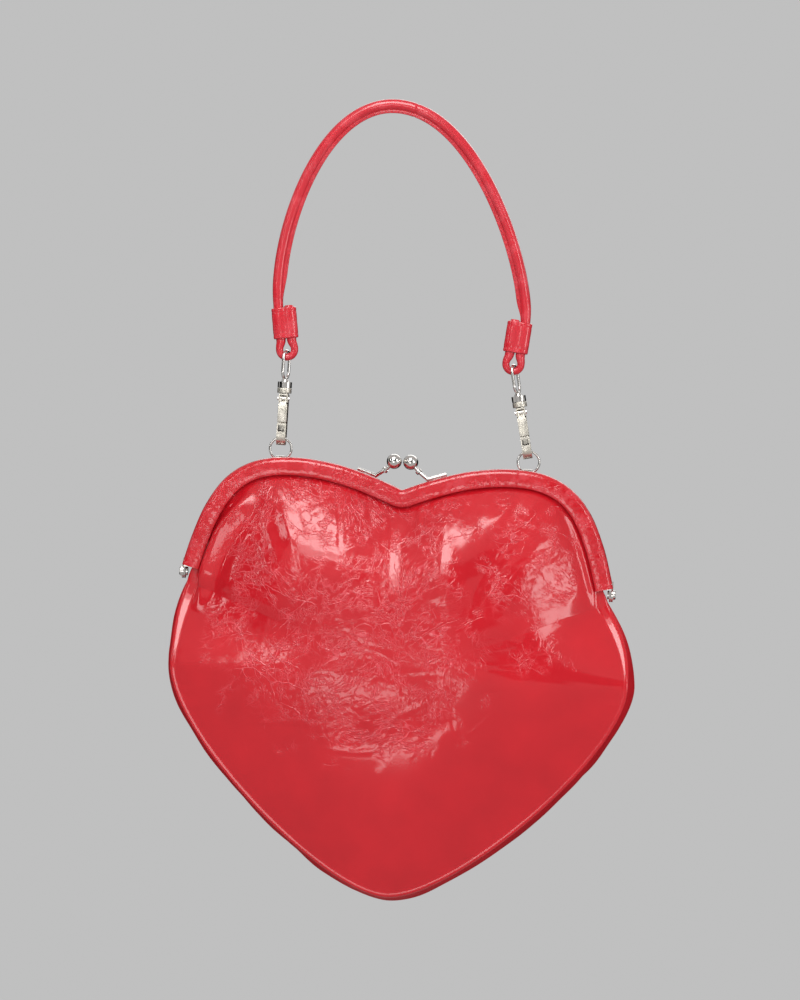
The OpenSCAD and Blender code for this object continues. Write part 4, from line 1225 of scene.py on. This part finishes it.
    def stitches(self) -> Object:
        """The thread along the fin: one stitch is modelled and set along both of its faces."""
        bpy.ops.object.select_all(action="DESELECT")
        size = {"radius": self.stitch_r * MM, "depth": self.stitch_l * MM}
        bpy.ops.mesh.primitive_cylinder_add(vertices=6, rotation=(0, math.pi / 2, 0), **size)
        stitch = bpy.context.object
        bpy.ops.object.transform_apply(location=True, rotation=True, scale=True)
        bpy.ops.object.mode_set(mode="EDIT")
        for cut in (self.stitch_bend, -self.stitch_bend):
            bpy.ops.mesh.select_all(action="SELECT")
            bpy.ops.mesh.bisect(plane_co=(cut * MM, 0, 0), plane_no=(1, 0, 0))
        bpy.ops.mesh.select_all(action="DESELECT")
        bpy.ops.object.mode_set(mode="OBJECT")
        local = np.array([v.co for v in stitch.data.vertices]) / MM
        faces = [tuple(p.vertices) for p in stitch.data.polygons]
        bpy.data.objects.remove(stitch, do_unlink=True)
        # The ends dip into the leather
        local[:, 1] -= self.stitch_dip * (np.abs(local[:, 0]) > 1.5 * self.stitch_bend)
        line = self.line(self.stitch_pitch)
        line = line[line[:, 5] > 0.9]
        points, all_faces = [], []
        for row in line:
            way, inner = row[2:4], np.array((row[3], -row[2]))
            at = row[:2] + inner * (self.roll_r + self.stitch_out)
            for face in Face:
                spot = at + local[:, :1] * way + local[:, 2:3] * inner
                depth = face.value * (self.fin_t / 2 - 0.1 + local[:, 1])
                base = len(points)
                points += [(x * MM, d * MM, z * MM) for (x, z), d in zip(spot, depth)]
                all_faces += [tuple(base + i for i in f) for f in faces]
        return new_skin("handle_stitches", points, all_faces)

    def placed(self, end: HandleEnd, x: np.ndarray, y: np.ndarray, z: np.ndarray) -> np.ndarray:
        """Points of an end's own frame as places in the shared frame."""
        spot = self.at_keeper(end, x, z)
        return np.stack((end.side.value * spot[..., 0], y + 0 * spot[..., 0], spot[..., 1]), axis=-1)

    def end_loop(self, end: HandleEnd, name: str) -> Object:
        """One turned-back end of the handle, from its butt in the keeper round the eye and up through the keeper."""
        r, sx, low = self.loop_r, self.strand_x, self.keeper_low
        t = np.linspace(0, 1, 40)
        down, _ = bezier(np.array(((-sx, low), (-sx, low - 3), (-r, r + 2.6), (-r, r))), t)
        a = np.linspace(0, math.pi, 60)
        turn = np.stack((-r * np.cos(a), r - r * np.sin(a)), axis=1)
        tail = ((-sx, low + self.keeper_h + 1), (-sx, low + 6))
        path = spaced(np.vstack((*tail, down, turn, down[::-1] * (-1, 1), (sx, low + 3.7))), self.loop_step)
        way = np.gradient(path, axis=0)
        way /= np.linalg.norm(way, axis=1, keepdims=True)
        thick = smooth((path[:, 1] - r) / (low - r))[:, None]
        radius = self.loop_cord_r + (self.strand_r - self.loop_cord_r) * thick
        radius[[0, -1]] *= 0.8
        b = np.linspace(0, TURN, 24, endpoint=False)
        x = path[:, :1] + radius * np.cos(b) * way[:, 1:]
        z = path[:, 1:] - radius * np.cos(b) * way[:, :1]
        return loft(name, self.placed(end, x, radius * np.sin(b), z), sharp=40)

    def keeper(self, end: HandleEnd, name: str) -> Object:
        """One leather sleeve, pinched in the valley between its two strands, with a hem at each end."""
        wide = self.strand_x + self.strand_r + self.keeper_room
        deep = self.strand_r + self.keeper_room
        a = np.linspace(0, TURN, 56, endpoint=False)
        flat = wide - deep
        # Heights with how far the outer face stands out there, then the same for the inner face
        outer = (
            (0.05, -0.28), (0.0, -0.45), (0.25, -0.08), (0.6, 0.0), (1.5, 0.03), (2.0, -0.1), (2.5, 0.0), (5, 0.05),
            (8, 0.0), (11, 0.05), (13.5, 0.0), (14.0, -0.1), (14.5, 0.03), (15.4, 0.0), (15.75, -0.08), (16.0, -0.45),
        )
        inner = ((15.9, 0.25), (12, 0.0), (8, 0.0), (4, 0.0), (0.1, 0.25))
        rings = []
        for (z, out), wall in (*((row, self.keeper_wall) for row in outer), *((row, 0) for row in inner)):
            r = deep + wall + out
            x = flat * np.tanh(1.6 * np.cos(a)) / math.tanh(1.6) + r * np.cos(a)
            y = r * np.sin(a)
            pinch = self.pinch * np.exp(-((x / self.pinch_w) ** 2)) * smooth(min(z, self.keeper_h - z) / 1.6 + 0.45)
            y = y - np.sign(y) * pinch * (np.abs(y) > 1)
            rings.append(self.placed(end, x, y, np.full(len(a), self.keeper_low + z)))
        return loft(name, np.stack(rings), loop=True, sharp=70)

    def build(self, leather: Material, thread: Material) -> list[Object]:
        """Builds, dresses and places the handle's pieces."""
        roll, stitches = self.roll(), self.stitches()
        dress(roll, leather)
        dress(stitches, thread)
        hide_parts("handle_cord")
        made = [roll, stitches]
        for end in self.ends:
            word = end.side.name.lower()
            loop, keeper = self.end_loop(end, f"{word}_end_loop"), self.keeper(end, f"{word}_keeper_sleeve")
            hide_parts(f"{word}_handle_loop")
            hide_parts(f"{word}_keeper")
            for piece in (loop, keeper):
                dress(piece, leather)
                made.append(piece)
        for piece in made:
            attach(piece, "handle")
        return made


@dataclass
class Hardware:
    """The cast and bent metal: hooks, levers, eyes, rings, lugs, rivets and the clasp."""

    edge: float = 0.16  # width of the rounding along each edge
    inside_reach: float = 8.0  # how near another face of the casting has to be for a face to count as inside
    lift: float = 0.03  # how far off its face a ray starts
    weld: float = 0.002
    flat_angle: float = math.radians(0.6)  # faces that turn by less are joined
    edge_angle: float = math.radians(38)  # edges that turn by more are rounded
    smooth_angle: float = math.radians(32)

    def rounded_copy(self, node: str, body: str, material: Material) -> Object:
        """A copy of a CAD node with its doubles merged and its edges rounded, which stands for it.

        Args:
            node: The CAD node.
            body: The body it rides on.
            material: Its finish.

        Returns:
            The piece.
        """
        bpy.ops.object.select_all(action="DESELECT")
        piece = linked(bpy.data.objects.new(f"{node}_cast", bpy.data.objects[node].data.copy()))
        piece.select_set(True)
        bpy.context.view_layer.objects.active = piece
        bpy.ops.object.mode_set(mode="EDIT")
        bpy.ops.mesh.select_all(action="SELECT")
        bpy.ops.mesh.remove_doubles(threshold=self.weld * MM)
        bpy.ops.mesh.dissolve_limited(angle_limit=self.flat_angle)
        bpy.ops.object.mode_set(mode="OBJECT")
        bevel = piece.modifiers.new("edge", "BEVEL")
        bevel.width, bevel.segments, bevel.use_clamp_overlap = self.edge * MM, 2, True
        bevel.limit_method, bevel.angle_limit = "ANGLE", self.edge_angle
        bpy.ops.object.modifier_apply(modifier=bevel.name)
        bpy.ops.object.shade_smooth_by_angle(angle=self.smooth_angle)
        dress(piece, material)
        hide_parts(node)
        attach(piece, body)
        return piece

    def paint_shade_inside(self, piece: Object, material: Material) -> None:
        """Gives the faces that look at another face of the same casting a painted shade: a near-black metal finish for
        the hollows.
        """
        piece.data.materials.append(material)
        work = bmesh.new()
        work.from_mesh(piece.data)
        tree = BVHTree.FromBMesh(work)
        for face in work.faces:
            middle = face.calc_center_median()
            starts = [middle, *(middle.lerp(corner.co, 0.8) for corner in face.verts)]
            off, reach = face.normal * self.lift * MM, self.inside_reach * MM
            if any(tree.ray_cast(at + off, face.normal, reach)[0] for at in starts):
                face.material_index = 1
        work.to_mesh(piece.data)
        work.free()

    def build(
        self, nodes: dict, plated: Material, lever: Material, dark: Material, steel: Material
    ) -> list[Object]:
        """Rounds the cast pieces and gives every other metal node its finish."""
        made = []
        for side in Side:
            word = side.name.lower()
            made.append(self.rounded_copy(f"{word}_hook", f"{word}_hook", lever))
            # The hollows of each hook get a painted shade
            self.paint_shade_inside(made[-1], dark)
            made.append(self.rounded_copy(f"{word}_gate", f"{word}_gate", lever))
            made.append(self.rounded_copy(f"{word}_ring_lug", "bag", plated))
            for node in (f"{word}_ring", f"{word}_swivel_eye", f"{word}_gate_pin"):
                dress(nodes[node], plated)
            dress(nodes[f"{word}_gate_spring"], steel)
        for node in ("front_clasp_arm", "front_clasp_ball", "back_clasp_arm", "back_clasp_ball", "hinge_rivets"):
            dress(nodes[node], plated)
        for node in ("front_channel", "back_channel"):
            dress(nodes[node], steel)
        return made


@dataclass
class Studio:
    """A plain pale room with softboxes, black cards that only the gloss sees, and the photograph's camera."""

    aim: tuple = (-0.4, -12.0, -201.8)
    azimuth: float = 3.0  # degrees round the bag to the right
    roll: float = 3.2
    lens: float = 150.0
    sensor: float = 36.0
    frame_h: float = 516.0  # mm of the bag's plane that fill the picture's height
    floor_z: float = -1.3  # metres, like the room's other sizes
    room_r: float = 4.2
    rise: float = 1.0
    wall_top: float = 3.4
    middle_z: float = -0.27  # height that lights and cards are hung round
    grey: str = "#C0C0C0"
    glow: float = 0.965

    def way(self, azimuth: float, elevation: float) -> Vector:
        """The direction from the bag at degrees round it, from straight in front to the right, and above it."""
        a, e = math.radians(azimuth), math.radians(elevation)
        return Vector((math.sin(a) * math.cos(e), -math.cos(a) * math.cos(e), math.sin(e)))

    def camera(self) -> None:
        """Sets the camera up at the photograph's angle."""
        data = bpy.data.cameras.new("camera")
        data.lens, data.sensor_width, data.clip_start, data.clip_end = self.lens, self.sensor, 0.05, 30.0
        camera = linked(bpy.data.objects.new("camera", data))
        back = self.way(self.azimuth, 0)
        distance = self.lens * self.frame_h / self.sensor * MM
        camera.location = Vector(self.aim) * MM + back * distance
        camera.rotation_mode = "QUATERNION"
        camera.rotation_quaternion = (-back).to_track_quat("-Z", "Y") @ Quaternion((0, 0, 1), math.radians(self.roll))
        bpy.context.scene.camera = camera

    def room(self) -> None:
        """The pale floor, turned up into a round wall far behind the bag."""
        bend = self.room_r - self.rise
        turns = np.linspace(0.2, math.pi / 2, 8)
        curve = [(self.room_r - self.rise * (1 - math.sin(t)), self.rise * (1 - math.cos(t))) for t in turns]
        t = np.linspace(0, TURN, 72, endpoint=False)
        rings = []
        for r, z in ((0.4, 0), (1.5, 0), (bend, 0), *curve, (self.room_r, self.wall_top)):
            rings.append(np.stack((r * np.cos(t), r * np.sin(t), self.floor_z + z + 0 * t), axis=-1) / MM)
        room = loft("room", np.stack(rings), End.POLE, End.FLAT)
        material, tree, _ = new_tree("matt_grey_backdrop_paper")
        paper = add(tree, "ShaderNodeBsdfDiffuse", values={"Color": linear("#303030")})
        glow = add(tree, "ShaderNodeEmission", values={"Color": linear(self.grey), "Strength": self.glow})
        end_in(tree, "ShaderNodeAddShader", {}, {0: paper.outputs[0], 1: glow.outputs[0]})
        dress(room, material)

    def softbox(
        self, name: str, azimuth: float, elevation: float, distance: float, size: tuple[float, float], power: float,
        seen: bool = True, felt: bool = True,
    ) -> None:
        """Hangs one softbox round the bag, facing it.

        Args:
            name: Its name.
            azimuth: Degrees round the bag from straight in front, to the right.
            elevation: Degrees above the bag's middle.
            distance: Metres from the bag.
            size: Its width and height in metres.
            power: Its power in watts.
            seen: False for a light that the gloss does not mirror.
            felt: False for a light that only the gloss mirrors.
        """
        data = bpy.data.lights.new(name, "AREA")
        data.shape, data.size, data.size_y, data.energy = "RECTANGLE", *size, power
        light = linked(bpy.data.objects.new(name, data))
        back = self.way(azimuth, elevation)
        light.location = Vector((0, 0, self.middle_z)) + back * distance
        light.rotation_mode = "QUATERNION"
        light.rotation_quaternion = back.to_track_quat("Z", "Y")
        light.visible_glossy, light.visible_diffuse = seen, felt

    def flag(
        self, name: str, azimuths: tuple[float, float], elevations: tuple[float, float], distance: float
    ) -> None:
        """Hangs one black card that only the gloss sees, between two azimuths and two elevations in degrees."""
        a = np.radians(np.linspace(*azimuths, 25))[:, None]
        e = np.radians(np.linspace(*elevations, 9))
        ways = np.stack((np.sin(a) * np.cos(e), -np.cos(a) * np.cos(e), np.sin(e) + 0 * a), axis=-1)
        near, far = (r * ways / MM for r in (distance, distance + 0.02))
        card = loft(name, np.concatenate((near, far[:, ::-1]), axis=1) + (0, 0, self.middle_z / MM))
        material, tree, _ = new_tree("black_molton_cloth")
        end_in(tree, "ShaderNodeBsdfDiffuse", {"Color": linear("#0C0C0C")})
        dress(card, material)
        card.visible_camera = card.visible_diffuse = card.visible_shadow = False

    def build(self) -> None:
        """Builds the whole studio."""
        scene = bpy.context.scene
        scene.view_settings.view_transform = "Standard"
        world = bpy.data.worlds.new("studio")
        world.use_nodes = True
        world.node_tree.nodes["Background"].inputs[0].default_value = linear(self.grey)
        scene.world = world
        self.camera()
        self.room()
        self.flag("middle_flag", (6, 22), (8, 32), 2.6)
        self.flag("right_flag", (22, 42), (16, 32), 2.6)
        self.flag("left_flag", (-90, -42), (-4, 38), 2.6)
        self.flag("rear_flag", (105, 255), (-42, 22), 0.95)
        self.softbox("overhead_softbox", -10, 48, 1.2, (0.58, 0.84), 5.6)
        self.softbox("overhead_core", -8, 52, 1.15, (0.42, 0.54), 4.4, felt=False)
        self.softbox("right_softbox", 46, 25, 1.2, (0.26, 0.3), 1.5)
        self.softbox("right_low_softbox", 58, 9, 1.2, (0.26, 0.36), 1.8)
        self.softbox("left_strip", -62, 24, 1.2, (0.12, 0.5), 1.1)
        self.softbox("handle_strip", -28, 20, 0.85, (0.055, 0.24), 0.27, felt=False)
        self.softbox("front_window", -6, -7, 2.0, (0.64, 0.36), 3.0, felt=False)
        self.softbox("back_softbox", 170, 34, 1.6, (1.4, 1.0), 7)
        self.softbox("front_fill", 3, 8, 2.3, (1.8, 1.4), 16, seen=False)


def main() -> None:
    """Builds the bag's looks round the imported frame, piece by piece."""
    logging.basicConfig(level=logging.INFO, format="%(message)s")
    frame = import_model()
    crushed = CoatedLeather("crushed_coated_calf_leather", 1.0, marked=True).make()
    plain = CoatedLeather("smooth_coated_calf_leather", 0.12, coat=0.06, coat_roughness=0.3).make()
    # The frame's band and the strap get patches of painted highlight
    band = CoatedLeather(
        "coated_calf_leather_on_frame", 0.7, line_height=0.09, coat_roughness=0.07, highlight_patches=0.25
    ).make()
    strap = CoatedLeather(
        "coated_calf_leather_strap", 0.35, colour="#CE1F2D", deep="#B41526", line_height=0.06, coat_roughness=0.05,
        sheen=0.2, highlight_patches=0.28,
    ).make()
    plated = PlatedMetal("polished_nickel_plated_zinc").make()
    lever = PlatedMetal("satin_pale_gold_nickel", "#D9D4C4", 0.3, 0.0012).make()
    # Painted shade: near-black metal for the hollows of the hooks
    dark = PlatedMetal("painted_shade_nickel", "#100F0E", 0.35, 0.002, "#1C1A18").make()
    steel = PlatedMetal("nickel_plated_sheet_steel", "#CFCDCA", 0.16, 0.004).make()
    thread = FibreStrand("red_bonded_nylon_thread", "#D8505A", "#8E1420", 0.5).make()
    paper = FibreStrand("twisted_kraft_paper_cord", "#B79A6A", "#7F6742", 1.4).make()
    for group in (
        Pouch().build(crushed, plain, WovenTwill().make()),
        ClaspFrame().build(band, paper),
        TopHandle().build(strap, thread),
        Hardware().build(frame["nodes"], plated, lever, dark, steel),
    ):
        for piece in group:
            LOG.info("%s: %d faces", piece.name, len(piece.data.polygons))
    Studio().build()


if __name__ == "__main__":
    main()
